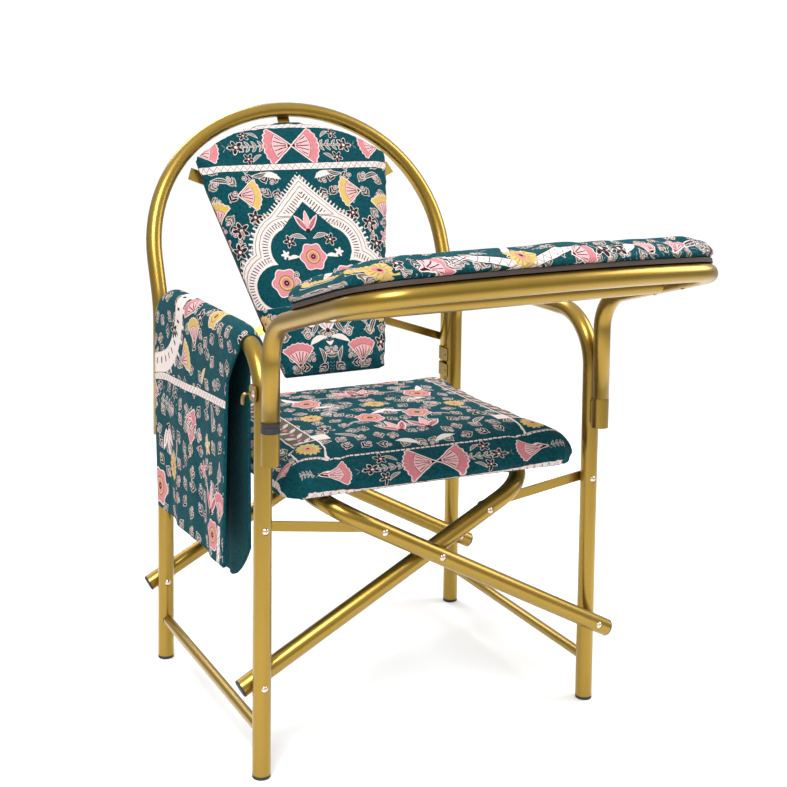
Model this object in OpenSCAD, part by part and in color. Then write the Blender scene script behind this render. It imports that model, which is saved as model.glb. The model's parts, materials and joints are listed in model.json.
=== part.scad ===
/* [Tubes] */
// Outer diameter of every frame tube
tube_d = 25.4; // [22:0.2:28]
// Wall of the frame tubes
tube_wall = 1.2; // [0.8:0.1:2]
// Gap between two tubes that turn on the same rivet
pivot_gap = 0.6; // [0.4:0.1:1.2]

/* [Side frames] */
// Distance between the left and the right legs, centre to centre
frame_w = 542; // [480:1:600]
// Distance between the front and the rear legs of one side, centre to centre
frame_d = 428; // [380:1:480]
// Height of the armrest tube's axis
arm_z = 596; // [570:1:640]
// Bend radius at both ends of an armrest
arm_bend = 80; // [60:1:100]
// Height of the lower side rail's axis
stretcher_z = 65; // [40:1:90]
// Diameter of the lower side rails
stretcher_d = 16; // [12:0.5:19]
// Visible height of a rubber foot
foot_t = 5; // [3:0.5:12]

/* [Scissor] */
// Angle of the crossed tubes above the floor when the chair stands open
open_angle = 28; // [25:0.5:32]
// Angle of the crossed tubes when the chair is folded
folded_angle = 70; // [60:1:72]
// Height of the rivets that carry the lower ends of the crossed tubes
pivot_z = 128; // [110:1:150]
// Height of the link bars' rivets on the legs
link_z = 347; // [330:1:365]
// Distance from the centre rivet to the seat rail's axis
rail_reach = 194; // [175:1:215]
// Bend radius between a crossed tube and its seat rail
rail_bend = 65; // [45:1:75]
// How far a crossed tube runs past its lower rivet
end_over = 22; // [18:1:40]
// Width of a link bar
link_w = 14; // [12:0.5:18]
// Thickness of a link bar
link_t = 3; // [2:0.5:4]

/* [Rivets] */
// Diameter of the rivets' shanks
rivet_d = 6; // [5:0.5:8]
// Diameter of the rivets' domed heads
head_d = 9.5; // [8.5:0.5:12]
// Height of the rivets' domed heads
head_h = 2.4; // [1.5:0.1:4]

/* [Seat] */
// Width of the seat cushion
seat_w = 486; // [400:1:500]
// Depth of the seat cushion
seat_d = 434; // [380:1:440]
// Thickness of the seat cushion in the middle
seat_t = 60; // [40:1:80]
// Thickness of the cloth sling that carries the cushion on the rails
sling_t = 2; // [1.5:0.1:3]

/* [Back] */
// Height at which the back hoop starts to lean backwards
hoop_knee_z = 547; // [520:1:580]
// Angle by which the hoop leans back
hoop_lean = 20.8; // [10:0.1:28]
// Bend radius of the hoop's knee
knee_bend = 150; // [100:1:220]
// Straight stretch between the knee and the hoop's side bends
hoop_rise = 51; // [20:1:90]
// Bend radius at the hoop's sides
hoop_side_r = 245; // [200:1:260]
// Turn of each side bend before the flatter crown begins
hoop_side_turn = 60; // [45:1:70]
// Height of the hoop's open lower ends
hoop_foot_z = 365; // [360:1:420]
// Angle by which the back panel leans back
panel_lean = 26.4; // [22:0.1:30]
// Height of the back panel's lower edge
panel_z = 455; // [440:1:490]
// Distance from the chair's middle back to the panel's lower edge
panel_y = 149; // [130:1:175]
// Width of the panel at its lower edge
panel_low_w = 186; // [150:1:220]
// Width of the panel at its shoulders
panel_top_w = 370; // [300:1:380]
// Length of the panel's tapered sides
panel_side = 386; // [330:1:390]
// Rise of the panel's rounded top above its shoulders
panel_crown = 68; // [40:1:74]
// Thickness of the panel's board
board_t = 6; // [4:0.5:9]
// Thickness of the padding on the panel
back_pad_t = 17; // [10:1:25]

// Height of the spring clips that hold the hoop
clip_h = 22; // [14:1:26]
// Distance from the link bars' rivets up to the lower spring clips
clip_over_link = 64; // [62:1:80]

/* [Desk] */
// Height of the left desk socket's top
left_socket_z = 486; // [470:1:500]
// Height of the right desk socket's top
right_socket_z = 475; // [460:1:500]
// Length of the sockets that carry the desk posts
socket_l = 44; // [30:1:60]
// Height of the black bearing ring under the left post
ring_h = 15; // [8:1:20]
// Height at which the desk posts start to bend forwards
desk_bend_z = 581; // [550:1:600]
// Bend radius at the top of the desk posts
desk_bend = 64; // [50:1:80]
// Angle by which the desk rises towards its front
desk_tilt = 16.3; // [8:0.1:25]
// Reach of the desk loop from the post bends to its front
desk_reach = 262; // [220:1:300]
// Bend radius of the desk loop's front corners
desk_corner = 75; // [50:1:110]
// Radius of the desk loop's bowed front
desk_front_r = 884; // [700:1:1200]
// Distance from the post bends to the cross tube under the desk
cross_reach = 96; // [70:1:130]
// How far the desk board and its pad stand past the loop's axis
pad_over = 14; // [8:1:20]
// Thickness of the desk board
desk_board_t = 6; // [4:0.5:9]
// Thickness of the desk pad
desk_pad_t = 32; // [20:1:40]
// Distance from the post bends to the pad's rear edge
pad_rear = 6; // [2:1:30]

/* [Arm cover] */
// Thickness of the padded cloth over the left armrest
cover_t = 8; // [4:0.5:8]
// Height of the outer flap's lower hem
outer_hem_z = 266; // [220:1:320]
// Height of the inner flap's lower hem
inner_hem_z = 228; // [200:1:300]
// Distance of the cover's front edge behind the front legs' middle
cover_from_front = 36; // [24:1:50]
// Distance of the cover's rear edge ahead of the rear legs' middle
cover_from_rear = 18; // [12:1:44]

/* [Hook] */
// Height of the bag hook's screw
hook_z = 534; // [515:1:545]
// Height of the bag hook's plate
hook_h = 22; // [16:1:28]

/* [Hidden] */
$fn = 64;
gold = "darkgoldenrod";
teal = "teal";
chrome = "silver";
rubber = "black";
// Small overshoot that makes a cut pass through a face
eps = 1;
// Clearance between pieces that slide past each other
fit = 0.4;
// Radial clearance of a rivet or pin in its hole
pin_fit = 0.05;
tube_r = tube_d / 2;
bore_r = tube_r - tube_wall;
// The two side frames and the two crossed tubes lie in planes one tube apart
plane_gap = tube_d + pivot_gap;
left_y = -plane_gap / 2;
right_y = plane_gap / 2;
half_w = frame_w / 2;
half_d = frame_d / 2;
cover_front = half_d - cover_from_front;
cover_rear = half_d - cover_from_rear;
// Lengths along a crossed tube, measured from its lower rivet
to_centre = half_w / cos(open_angle);
centre_z = pivot_z + half_w * tan(open_angle);
// The links stand the legs upright both when open and when folded
link_rise = link_z - pivot_z;
sine_sum = sin(open_angle) + sin(folded_angle);
to_link = link_rise * to_centre / (2 * to_centre * sine_sum - link_rise);
link_dx = (to_centre - to_link) * cos(open_angle);
link_dz = (to_centre + to_link) * sin(open_angle) - link_rise;
link_l = sqrt(link_dx * link_dx + link_dz * link_dz);
link_angle = atan2(link_dz, link_dx);
rail_x = rail_reach * cos(open_angle);
rail_z = centre_z + rail_reach * sin(open_angle);
// The desk and the hoop stand square to the skewed line through the two sides
skew = atan2(plane_gap, frame_w);
skew_half = half_w / cos(skew);
// Offset of the desk posts and the hoop from the legs that they stand against
beside = tube_d + fit;
post_y = half_d + beside;
hoop_y = half_d + beside;
seat_z = rail_z + tube_r + sling_t + fit;
// The origin lies on the floor, midway between the desk's front and the hoop's rear
front_reach = post_y + desk_bend * (1 - sin(desk_tilt)) + (desk_reach + pad_over) * cos(desk_tilt);
hoop_crown_r = (skew_half - hoop_side_r * (1 - cos(hoop_side_turn))) / cos(hoop_side_turn);
hoop_length = hoop_rise + hoop_side_r * sin(hoop_side_turn) + hoop_crown_r * (1 - sin(hoop_side_turn));
rear_reach = hoop_y + knee_bend * (1 - cos(hoop_lean)) + tube_r * cos(hoop_lean)
    + hoop_length * sin(hoop_lean);
middle_y = (front_reach - rear_reach) / 2;
foot_plug = 20;
cap_t = 3;
// Seat rails end before the front and rear legs of both sides
sling_d = frame_d - 2 * rail_bend - plane_gap;

function unit(v) = v / norm(v);
function arc(cx, cy, r, from, to, n) =
    [for (i = [0 : n]) let (a = from + (to - from) * i / n) [cx + r * cos(a), cy + r * sin(a)]];
// Inward normal of a closed counter-clockwise outline at point i
function inward(p, i) =
    let (n = len(p), t = unit(p[(i + 1) % n] - p[(i + n - 1) % n])) [-t[1], t[0]];

// Moves a piece from the legs' middle to the origin
module placed() {
    translate([0, middle_y, 0]) children();
}

module ring(d = tube_d, wall = tube_wall) {
    difference() {
        circle(d = d);
        circle(d = d - 2 * wall);
    }
}

// Straight tube along +Z
module run(l, d = tube_d, wall = tube_wall) {
    linear_extrude(l) ring(d, wall);
}

// Bent tube that starts along +Z and turns by a towards +Y, turned about Z by dir
module elbow(r, a, dir = 0) {
    rotate([0, 0, dir]) translate([0, r, 0]) rotate([90, 0, -90])
        rotate_extrude(angle = a) translate([r, 0]) ring();
}

// Places what follows an elbow at its far end
module after(r, a, dir = 0) {
    rotate([0, 0, dir]) translate([0, r * (1 - cos(a)), r * sin(a)])
        rotate([-a, 0, 0]) rotate([0, 0, -dir]) children();
}

// One station of a tube's course: place, x and y of the section, direction
function bent(s, r, a, dir) =
    let (d = cos(dir) * s[2] - sin(dir) * s[1], e = cos(a) * d - sin(a) * s[3])
    [s[0] + r * (1 - cos(a)) * d + r * sin(a) * s[3], s[1] + (s[1] * d) * (e - d),
        s[2] + (s[2] * d) * (e - d), cos(a) * s[3] + sin(a) * d];
// Stations along legs given as [length, 0] or [radius, turn, direction, steps]
function course(s, legs, i = 0) = i == len(legs) ? [] :
    let (g = legs[i], new = g[1] == 0 ? [[s[0] + g[0] * s[3], s[1], s[2], s[3]]] :
        [for (k = [1 : g[3]]) bent(s, g[0], g[1] * k / g[3], g[2])])
    concat(new, course(new[len(new) - 1], legs, i + 1));

// Hollow tube that is bent in more than one plane, starting upwards from a point
module swept(from, legs) {
    n = 20;
    start = [from, [1, 0, 0], [0, 1, 0], [0, 0, 1]];
    line = concat([start], course(start, legs));
    m = len(line);
    // The flats of the bore keep the true radius, so what stands in it fits
    radii = [tube_r, bore_r / cos(180 / n)];
    points = [for (r = radii) for (s = line) for (i = [0 : n - 1])
        s[0] + r * (cos(360 * i / n) * s[1] + sin(360 * i / n) * s[2])];
    function at(f, j, i) = (f * m + j) * n + i % n;
    faces = concat(
        [for (j = [0 : m - 2]) for (i = [0 : n - 1])
            each [[at(0, j, i), at(0, j + 1, i), at(0, j, i + 1)],
                [at(0, j, i + 1), at(0, j + 1, i), at(0, j + 1, i + 1)],
                [at(1, j, i), at(1, j, i + 1), at(1, j + 1, i)],
                [at(1, j, i + 1), at(1, j + 1, i + 1), at(1, j + 1, i)]]],
        [for (i = [0 : n - 1])
            each [[at(1, 0, i), at(0, 0, i), at(0, 0, i + 1)],
                [at(1, 0, i), at(0, 0, i + 1), at(1, 0, i + 1)],
                [at(1, m - 1, i), at(0, m - 1, i + 1), at(0, m - 1, i)],
                [at(1, m - 1, i), at(1, m - 1, i + 1), at(0, m - 1, i + 1)]]]);
    polyhedron(points, faces);
}

// Upside-down U whose arms stand on z = 0, the front arm at the origin
module u_tube(arm, r, span) {
    run(arm);
    translate([0, 0, arm]) {
        elbow(r, 90);
        after(r, 90) {
            run(span - 2 * r);
            translate([0, 0, span - 2 * r]) {
                elbow(r, 90);
                after(r, 90) run(arm);
            }
        }
    }
}

// Hole along +Y through both arms of a U-tube
module cross_hole(z, d = rivet_d + 2 * pin_fit) {
    translate([0, -tube_d, z]) rotate([-90, 0, 0]) cylinder(h = frame_d + 2 * tube_d, d = d);
}

// Flat round seat that lets a domed head lie on a tube, at the tube's front or rear crest
module head_seat(z, side, y = 0) {
    depth = 0.9;
    translate([0, y + side * tube_r, z]) rotate([-90, 0, 0])
        cylinder(h = 2 * depth, d = head_d + 0.4, center = true);
}

// Domed head on the plane y = 0 that stands out towards -Y
module dome() {
    cap_r = (head_d * head_d / 4 + head_h * head_h) / (2 * head_h);
    rotate([90, 0, 0]) rotate_extrude() intersection() {
        translate([0, head_h - cap_r]) circle(cap_r);
        square([head_d, head_h]);
    }
}

// Rivet along +Y with a domed head at both ends
module rivet(grip) {
    seat = 0.9;
    translate([0, seat, 0]) dome();
    translate([0, grip - seat, 0]) mirror([0, 1, 0]) dome();
    translate([0, seat, 0]) rotate([-90, 0, 0]) cylinder(h = grip - 2 * seat, d = rivet_d);
}

// Rivet whose rear end is cut off flush, for a link's open pivot
module stud(grip) {
    seat = 0.9;
    translate([0, seat, 0]) dome();
    translate([0, seat, 0]) rotate([-90, 0, 0]) cylinder(h = grip - seat, d = rivet_d);
}

module front_and_rear() {
    for (y = [0, frame_d]) translate([0, y, 0]) children();
}

// Padded form over a closed outline: rows of [inset, scale, height]
module pad(outline, rows, middle = [0, 0]) {
    n = len(outline);
    m = len(rows);
    points = [for (row = rows) for (i = [0 : n - 1])
        let (q = outline[i] + row[0] * inward(outline, i), s = middle + (q - middle) * row[1])
        [s[0], s[1], row[2]]];
    poles = [[middle[0], middle[1], rows[0][2]], [middle[0], middle[1], rows[m - 1][2]]];
    sides = [for (j = [0 : m - 2]) for (i = [0 : n - 1]) let (k = (i + 1) % n)
        each [[j * n + i, (j + 1) * n + i, j * n + k], [j * n + k, (j + 1) * n + i, (j + 1) * n + k]]];
    bottom = [for (i = [0 : n - 1]) [m * n, i, (i + 1) % n]];
    top = [for (i = [0 : n - 1]) [m * n + 1, (m - 1) * n + (i + 1) % n, (m - 1) * n + i]];
    polyhedron(concat(points, poles), concat(sides, bottom, top));
}

// Side frames

module side_frame(side, y) {
    leg_l = arm_z - arm_bend - foot_t;
    first_plane = side < 0;
    color(gold) translate([side * half_w, y - half_d, foot_t]) difference() {
        u_tube(leg_l, arm_bend, frame_d);
        cross_hole(pivot_z - foot_t);
        cross_hole(link_z - foot_t);
        front_and_rear() {
            head_seat(pivot_z - foot_t, first_plane ? -1 : 1);
            head_seat(link_z - foot_t, -1);
        }
        if (first_plane) translate([0, 0, hook_z - foot_t]) rotate([0, -90, 0]) cylinder(h = tube_d, d = 4.4);
        // Sockets for the lower rail, as deep as the tube's wall
        translate([0, -eps, stretcher_z - foot_t]) rotate([-90, 0, 0])
            cylinder(h = frame_d + 2 * eps, d = stretcher_d);
    }
}

module stretcher(side, y) {
    color(gold) translate([side * half_w, y - half_d, stretcher_z]) difference() {
        translate([0, bore_r, 0]) rotate([-90, 0, 0]) run(frame_d - 2 * bore_r, stretcher_d);
        front_and_rear() cylinder(h = 2 * stretcher_d, r = bore_r, center = true);
    }
}

module foot(side, y) {
    color(rubber) translate([side * half_w, y, 0]) {
        rotate_extrude() polygon([[0, 0], [tube_r - 1, 0], [tube_r, 1], [tube_r, foot_t], [0, foot_t]]);
        cylinder(h = foot_t + foot_plug, r = bore_r - 0.2);
    }
}

module feet(side, y) {
    translate([0, y - half_d, 0]) front_and_rear() foot(side, 0);
}

// Short tube welded in front of a front leg, with a bead on each side of the joint
module desk_socket(side, y, top) {
    bead_r = 3;
    groove_x = 6;
    color(gold) translate([side * half_w, y - half_d - beside, top - socket_l]) {
        run(socket_l);
        for (s = [-1, 1]) difference() {
            translate([s * groove_x, tube_r, 6]) cylinder(h = socket_l - 12, r = bead_r);
            translate([0, 0, -eps]) cylinder(h = socket_l + 2 * eps, r = tube_r - 0.2);
            translate([0, beside, -eps]) cylinder(h = socket_l + 2 * eps, r = tube_r);
        }
    }
}

// Pin inside the left socket on which the desk post and its ring turn
module desk_pin() {
    above = 60;
    below = 34;
    color(gold) translate([-half_w, left_y - half_d - beside, left_socket_z - below])
        run(below + ring_h + above, 2 * (bore_r - pin_fit), 1.5);
}

// Rivets at the height z through two tubes that lie one plane apart
module pair_rivets(x, z) {
    color(chrome) translate([x, left_y - half_d - tube_r, z])
        front_and_rear() rivet(2 * tube_d + pivot_gap);
}

// Rivets through a leg and the link bar behind it
module link_rivets(side, y) {
    color(chrome) translate([side * half_w, y - half_d - tube_r, link_z])
        front_and_rear() {
            stud(tube_d + 2 * pin_fit + fit + link_t + fit);
            translate([0, tube_d + fit + link_t + fit, 0]) mirror([0, 1, 0]) dome();
        }
}

// Spring saddle on a rear leg that is open towards the chair's outside
module back_clip(side, y, z) {
    clip_t = 1.6;
    inner = tube_r + fit;
    color(gold) translate([side * half_w, y + half_d, z]) difference() {
        union() {
            translate([0, beside, 0]) cylinder(h = clip_h, r = inner + clip_t);
            // Foot of the saddle, curved to the leg and screwed to it
            translate([-side * (tube_r + clip_t), 0, 0]) translate([side > 0 ? 0 : -clip_t, 0, 0])
                cube([clip_t, tube_d, clip_h]);
        }
        translate([0, beside, -eps]) cylinder(h = clip_h + 2 * eps, r = inner);
        translate([0, 0, -eps]) cylinder(h = clip_h + 2 * eps, r = tube_r);
        translate([side > 0 ? 0 : -2 * tube_d, 0, -eps])
            cube([2 * tube_d, 2 * tube_d, clip_h + 2 * eps]);
        translate([0, tube_r / 2, clip_h / 2]) rotate([0, 90, 0])
            cylinder(h = 3 * tube_d, d = 3.5, center = true);
    }
}

module back_clips(side, y) {
    for (z = [link_z + clip_over_link, strap_z - strap_w / 2 - 10 - clip_h]) back_clip(side, y, z);
}

// Bent steel hook on the outside of the left front leg
module bag_hook() {
    plate_t = 2;
    plate_d = 24;
    finger_w = 8;
    curl_r = 8;
    wall_x = -half_w - tube_r;
    color(gold) translate([wall_x, left_y - half_d + 3, hook_z]) {
        difference() {
            rotate([0, -90, 0]) linear_extrude(plate_t) intersection() {
                circle(d = plate_d + 3);
                square([hook_h, plate_d], center = true);
            }
            rotate([0, -90, 0]) translate([0, -3, -eps]) cylinder(h = plate_t + 2 * eps, d = 4.4);
        }
        // Finger that leaves the plate outwards and curls down
        translate([-plate_t, plate_d / 2 - finger_w, -2]) {
            translate([-4, 0, 0]) cube([4, finger_w, plate_t]);
            translate([-4, 0, plate_t - curl_r]) rotate([90, 0, 180]) translate([0, 0, 0])
                rotate_extrude(angle = 90) translate([curl_r - plate_t, 0]) square([plate_t, finger_w]);
            translate([-4 - curl_r, 0, plate_t - curl_r - 8]) cube([plate_t, finger_w, 8]);
        }
    }
}

module hook_screw() {
    color(chrome) translate([-half_w - tube_r - 2, left_y - half_d, hook_z]) rotate([0, 0, -90]) {
        dome();
        translate([0, 0, 0]) rotate([-90, 0, 0]) cylinder(h = tube_wall + 4, d = 4.2);
    }
}

// Crossed tubes

module in_cross(side) {
    lean = side * (90 - open_angle);
    start_y = (side > 0 ? right_y : left_y) - half_d;
    translate([-side * half_w, start_y, pivot_z]) rotate([0, lean, 0]) children();
}

module cross_tube(side) {
    color(gold) in_cross(side) difference() {
        translate([0, 0, -end_over])
            u_tube(end_over + to_centre + rail_reach - rail_bend, rail_bend, frame_d);
        for (z = [0, to_centre, to_centre + to_link]) cross_hole(z);
        // The front face of the tube in front carries the heads, the rear face of the other the tails
        front_and_rear() {
            head_seat(0, side > 0 ? 1 : -1);
            head_seat(to_centre, side > 0 ? 1 : -1);
            head_seat(to_centre + to_link, -1);
        }
    }
}

module cross_caps(side) {
    color(rubber) in_cross(side) front_and_rear() translate([0, 0, -end_over]) {
        translate([0, 0, -cap_t]) rotate_extrude()
            polygon([[0, 0], [tube_r - 1.5, 0], [tube_r, 1.5], [tube_r, cap_t], [0, cap_t]]);
        cylinder(h = end_over - rivet_d, r = bore_r - 0.2);
    }
}

// Front half of each link's open pivot, which stays with the crossed tube
module cross_studs(side) {
    color(chrome) in_cross(side) translate([0, -tube_r, to_centre + to_link])
        front_and_rear() stud(tube_d);
}

// Link bar between a leg and the crossed tube beside it
module link(side, y) {
    color(gold) translate([side * half_w, y + tube_r + fit, link_z])
        rotate([0, side > 0 ? 180 + link_angle : -link_angle, 0]) rotate([-90, 0, 0])
        difference() {
            linear_extrude(link_t) difference() {
                union() {
                    for (x = [0, link_l]) translate([x, 0]) circle(d = link_w);
                    translate([0, -link_w / 2]) square([link_l, link_w]);
                }
                for (x = [0, link_l]) translate([x, 0]) circle(d = rivet_d + 2 * pin_fit);
            }
        }
}

// Rear half of each link's open pivot, which stays with the link
module link_tails(side, y) {
    color(chrome) translate([side * (half_w - link_dx), y - half_d + tube_r + fit, link_z + link_dz])
        front_and_rear() {
            rotate([-90, 0, 0]) cylinder(h = link_t, d = rivet_d);
            translate([0, link_t, 0]) mirror([0, 1, 0]) dome();
        }
}

// Seat

module seat_sling() {
    loop_r = tube_r + fit;
    color(teal) {
        translate([-rail_x, -sling_d / 2, rail_z + loop_r]) cube([2 * rail_x, sling_d, sling_t]);
        for (s = [-1, 1]) translate([s * rail_x, -sling_d / 2, rail_z]) rotate([-90, 0, 0]) difference() {
            run(sling_d, 2 * (loop_r + sling_t), sling_t);
            // The sleeve is sewn to the sheet on the side that faces the middle
            translate([s > 0 ? -3 * tube_d : 0, -3 * tube_d, -eps])
                cube([3 * tube_d, 3 * tube_d - loop_r - sling_t / 2, sling_d + 2 * eps]);
        }
    }
}

function seat_outline() =
    let (w = seat_w / 2, d = seat_d / 2, r = 46, draw = 5)
    [for (c = [[1, 1, 0], [-1, 1, 90], [-1, -1, 180], [1, -1, 270]])
        each concat(
            arc(c[0] * (w - r), c[1] * (d - r), r, c[2], c[2] + 90, 6),
            // The sides are drawn in between the corners
            [for (t = [1 : 5]) let (k = t / 6, a = c[2] + 90, u = [cos(a), sin(a)],
                p = [c[0] * (w - r) + r * u[0], c[1] * (d - r) + r * u[1]],
                span = 2 * (abs(u[0]) > 0.5 ? d - r : w - r), v = [-u[1], u[0]])
                p + v * span * k - u * draw * sin(180 * k)])];

module seat_cushion() {
    edge = 13;
    color(teal) translate([0, -16, seat_z]) pad(seat_outline(), [
        [30, 1, 0], [12, 1, 0], [4, 1, edge * 0.3], [0, 1, edge],
        [2, 1, edge * 1.7], [8, 1, edge * 2.4], [18, 1, seat_t * 0.66],
        [34, 1, seat_t * 0.82], [34, 0.8, seat_t * 0.93], [34, 0.5, seat_t * 0.985], [34, 0.2, seat_t]]);
}

// Back

// Turns a back or desk part square to the line through its two skewed legs at y
module skewed(y) {
    translate([0, y, 0]) rotate([0, 0, skew]) translate([0, -y, 0]) children();
}

module back_hoop() {
    side = hoop_side_turn;
    color(gold) skewed(hoop_y) swept([-skew_half, hoop_y, hoop_foot_z], [
        [hoop_knee_z - hoop_foot_z, 0],
        [knee_bend, hoop_lean, 0, 4],
        [hoop_rise, 0],
        [hoop_side_r, side, -90, 9],
        [hoop_crown_r, 180 - 2 * side, -90, 10],
        [hoop_side_r, side, -90, 9],
        [hoop_rise, 0],
        [knee_bend, hoop_lean, 0, 4],
        [hoop_knee_z - hoop_foot_z, 0]]);
}

// Frame of the back panel: x across, y up along the panel, z out of its rear face
module on_panel() {
    skewed(hoop_y) translate([0, panel_y, panel_z]) rotate([90 - panel_lean, 0, 0])
        mirror([0, 0, 1]) children();
}

crown_r = (pow(panel_top_w / 2, 2) + pow(panel_crown, 2)) / (2 * panel_crown);
crown_a = asin(panel_top_w / 2 / crown_r);

function panel_outline() =
    let (lo = panel_low_w / 2, hi = panel_top_w / 2, r = 8, a = atan2(hi - lo, panel_side))
    concat(
        arc(lo - r, r, r, -90, -a, 4),
        [for (t = [1 : 6]) let (k = t / 7) [lo + (hi - lo) * k, panel_side * k]],
        arc(0, panel_side + panel_crown - crown_r, crown_r, 90 - crown_a + 1, 90 + crown_a - 1, 20),
        [for (t = [1 : 6]) let (k = 1 - t / 7) [-lo - (hi - lo) * k, panel_side * k]],
        arc(-lo + r, r, r, 180 + a, 270, 4));

module back_board() {
    color("saddlebrown") on_panel() linear_extrude(board_t) offset(delta = -3) polygon(panel_outline());
}

module back_pad() {
    t = back_pad_t;
    color(teal) on_panel() mirror([0, 0, 1]) translate([0, 0, fit / 4]) pad(panel_outline(), [
        [6, 1, 0], [1, 1, 0], [0, 1, t * 0.25], [1, 1, t * 0.5], [5, 1, t * 0.76],
        [14, 1, t * 0.9], [14, 0.8, t * 0.97], [14, 0.4, t]], [0, panel_side / 2]);
}

// Ends of the right strap in the hoop's frame: behind the hoop tube and behind the board
strap_w = 14;
strap_t = 2.5;
strap_z = 478;
strap_x = 104;
strap_v = 88;
strap_from = [skew_half - 4, hoop_y + tube_r + 0.1, strap_z];
strap_to = [strap_x, panel_y + strap_v * sin(panel_lean) + board_t * cos(panel_lean) + 0.1,
    panel_z + strap_v * cos(panel_lean) - board_t * sin(panel_lean)];

// Flat bar with a round lug at each end, from the hoop to the board
module back_strap(side) {
    lug_d = strap_w + 2;
    color(gold) skewed(hoop_y) mirror([side > 0 ? 0 : 1, 0, 0]) {
        translate(strap_from) rotate([-90, 0, 0]) cylinder(h = strap_t, d = lug_d);
        hull() {
            translate(strap_from - [6, 0, strap_w / 2]) cube([1, strap_t, strap_w]);
            translate(strap_to) rotate([-panel_lean, 0, 0])
                translate([5, 0, -strap_w / 2]) cube([1, strap_t, strap_w]);
        }
        translate(strap_to) rotate([-panel_lean - 90, 0, 0]) cylinder(h = strap_t, d = lug_d);
    }
}

// Tabs welded behind the hoop that hold the board's top and shoulders
tab_v = [panel_side + panel_crown - 16, panel_side - 34];
tab_w = 22;

module back_tabs() {
    color(gold) on_panel() {
        translate([-tab_w / 2, tab_v[0] - 22, board_t + 0.1]) cube([tab_w, 52, 2]);
        for (s = [-1, 1]) translate([s * (panel_top_w / 2 - 26), tab_v[1], board_t + 0.1])
            rotate([0, 0, s > 0 ? 24 : 156]) translate([-18, -tab_w / 2, 0]) cube([54, tab_w, 2]);
    }
}

module back_screws() {
    color(chrome) skewed(hoop_y) for (s = [-1, 1]) mirror([s > 0 ? 0 : 1, 0, 0]) {
        translate(strap_from + [0, strap_t, 0]) mirror([0, 1, 0]) dome();
        translate(strap_to) rotate([-panel_lean, 0, 0]) mirror([0, 1, 0])
            translate([0, -strap_t, 0]) dome();
    }
}

// Desk

desk_half_turn = asin((skew_half - desk_corner) / (desk_front_r - desk_corner));
desk_side = desk_reach - desk_front_r + (desk_front_r - desk_corner) * cos(desk_half_turn);

module desk_frame() {
    up = 90 - desk_tilt;
    corner = 90 - desk_half_turn;
    left_z = left_socket_z + ring_h + fit;
    right_z = right_socket_z + fit;
    color(gold) skewed(-post_y) swept([-skew_half, -post_y, left_z], [
        [desk_bend_z - left_z, 0],
        [desk_bend, up, 180, 9],
        [desk_side, 0],
        [desk_corner, corner, -90, 9],
        [desk_front_r, 2 * desk_half_turn, -90, 7],
        [desk_corner, corner, -90, 9],
        [desk_side, 0],
        [desk_bend, up, 180, 9],
        [desk_bend_z - right_z, 0]]);
}

// Frame of the desk: x across, y towards the sitter, z up from the loop's plane
module on_desk() {
    skewed(-post_y) translate([0, -post_y - desk_bend * (1 - sin(desk_tilt)),
        desk_bend_z + desk_bend * cos(desk_tilt)]) rotate([-desk_tilt, 0, 0]) children();
}

module desk_cross_tube() {
    color(gold) on_desk() difference() {
        translate([-skew_half + bore_r, -cross_reach, 0]) rotate([0, 90, 0]) run(2 * (skew_half - bore_r));
        for (s = [-1, 1]) translate([s * skew_half, -cross_reach, 0]) rotate([90, 0, 0])
            cylinder(h = 4 * tube_d, r = tube_r, center = true);
    }
}

// Closed outline of the desk top, past the loop's axis by o
function desk_outline(o) =
    let (fy = desk_front_r - desk_reach, r = desk_corner + o, cx = skew_half - desk_corner,
        cy = fy - (desk_front_r - desk_corner) * cos(desk_half_turn), q = 40, x = skew_half + o)
    concat(
        arc(cx, cy, r, -90 + desk_half_turn, 0, 8),
        [[x, cy + (-pad_rear - q - cy) * 0.5]],
        arc(x - q, -pad_rear - q, q, 0, 90, 6),
        [for (t = [1 : 6]) [(x - q) * (1 - 2 * t / 7), -pad_rear]],
        arc(-x + q, -pad_rear - q, q, 90, 180, 6),
        [[-x, cy + (-pad_rear - q - cy) * 0.5]],
        arc(-cx, cy, r, 180, 270 - desk_half_turn, 8),
        arc(0, fy, desk_front_r + o, -90 - desk_half_turn + 2, -90 + desk_half_turn - 2, 9));

module desk_board() {
    color("saddlebrown") on_desk() translate([0, 0, tube_r + 0.1]) linear_extrude(desk_board_t)
        offset(delta = -6) polygon(desk_outline(pad_over));
}

module desk_pad() {
    t = desk_pad_t;
    middle = [0, -(desk_reach + pad_rear) / 2];
    color(teal) on_desk() translate([0, 0, tube_r + desk_board_t + 0.2]) pad(desk_outline(pad_over), [
        [8, 1, 0], [2, 1, 0], [0, 1, t * 0.2], [1, 1, t * 0.42], [5, 1, t * 0.64],
        [13, 1, t * 0.82], [26, 1, t * 0.93], [30, 0.7, t * 0.98], [30, 0.3, t]], middle);
}

// Screws through the side tubes into the board, their heads under the tubes
desk_screw_y = [-cross_reach + 0.8 * tube_d, -cross_reach - 1.6 * tube_d];

module desk_screws() {
    color(chrome) on_desk() for (s = [-1, 1], y = desk_screw_y)
        translate([s * skew_half, y, -tube_r]) rotate([90, 0, 0]) dome();
}

module desk_ring() {
    groove = 1;
    r = tube_r + 0.2;
    in_r = bore_r;
    color(rubber) translate([-half_w, left_y - half_d - beside, left_socket_z + fit / 2]) rotate_extrude()
        polygon([[in_r, 0], [r, 0], [r, ring_h * 0.4], [r - groove, ring_h * 0.47],
            [r - groove, ring_h * 0.6], [r, ring_h * 0.67], [r, ring_h - fit], [in_r, ring_h - fit]]);
}

// Arm cover

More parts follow.
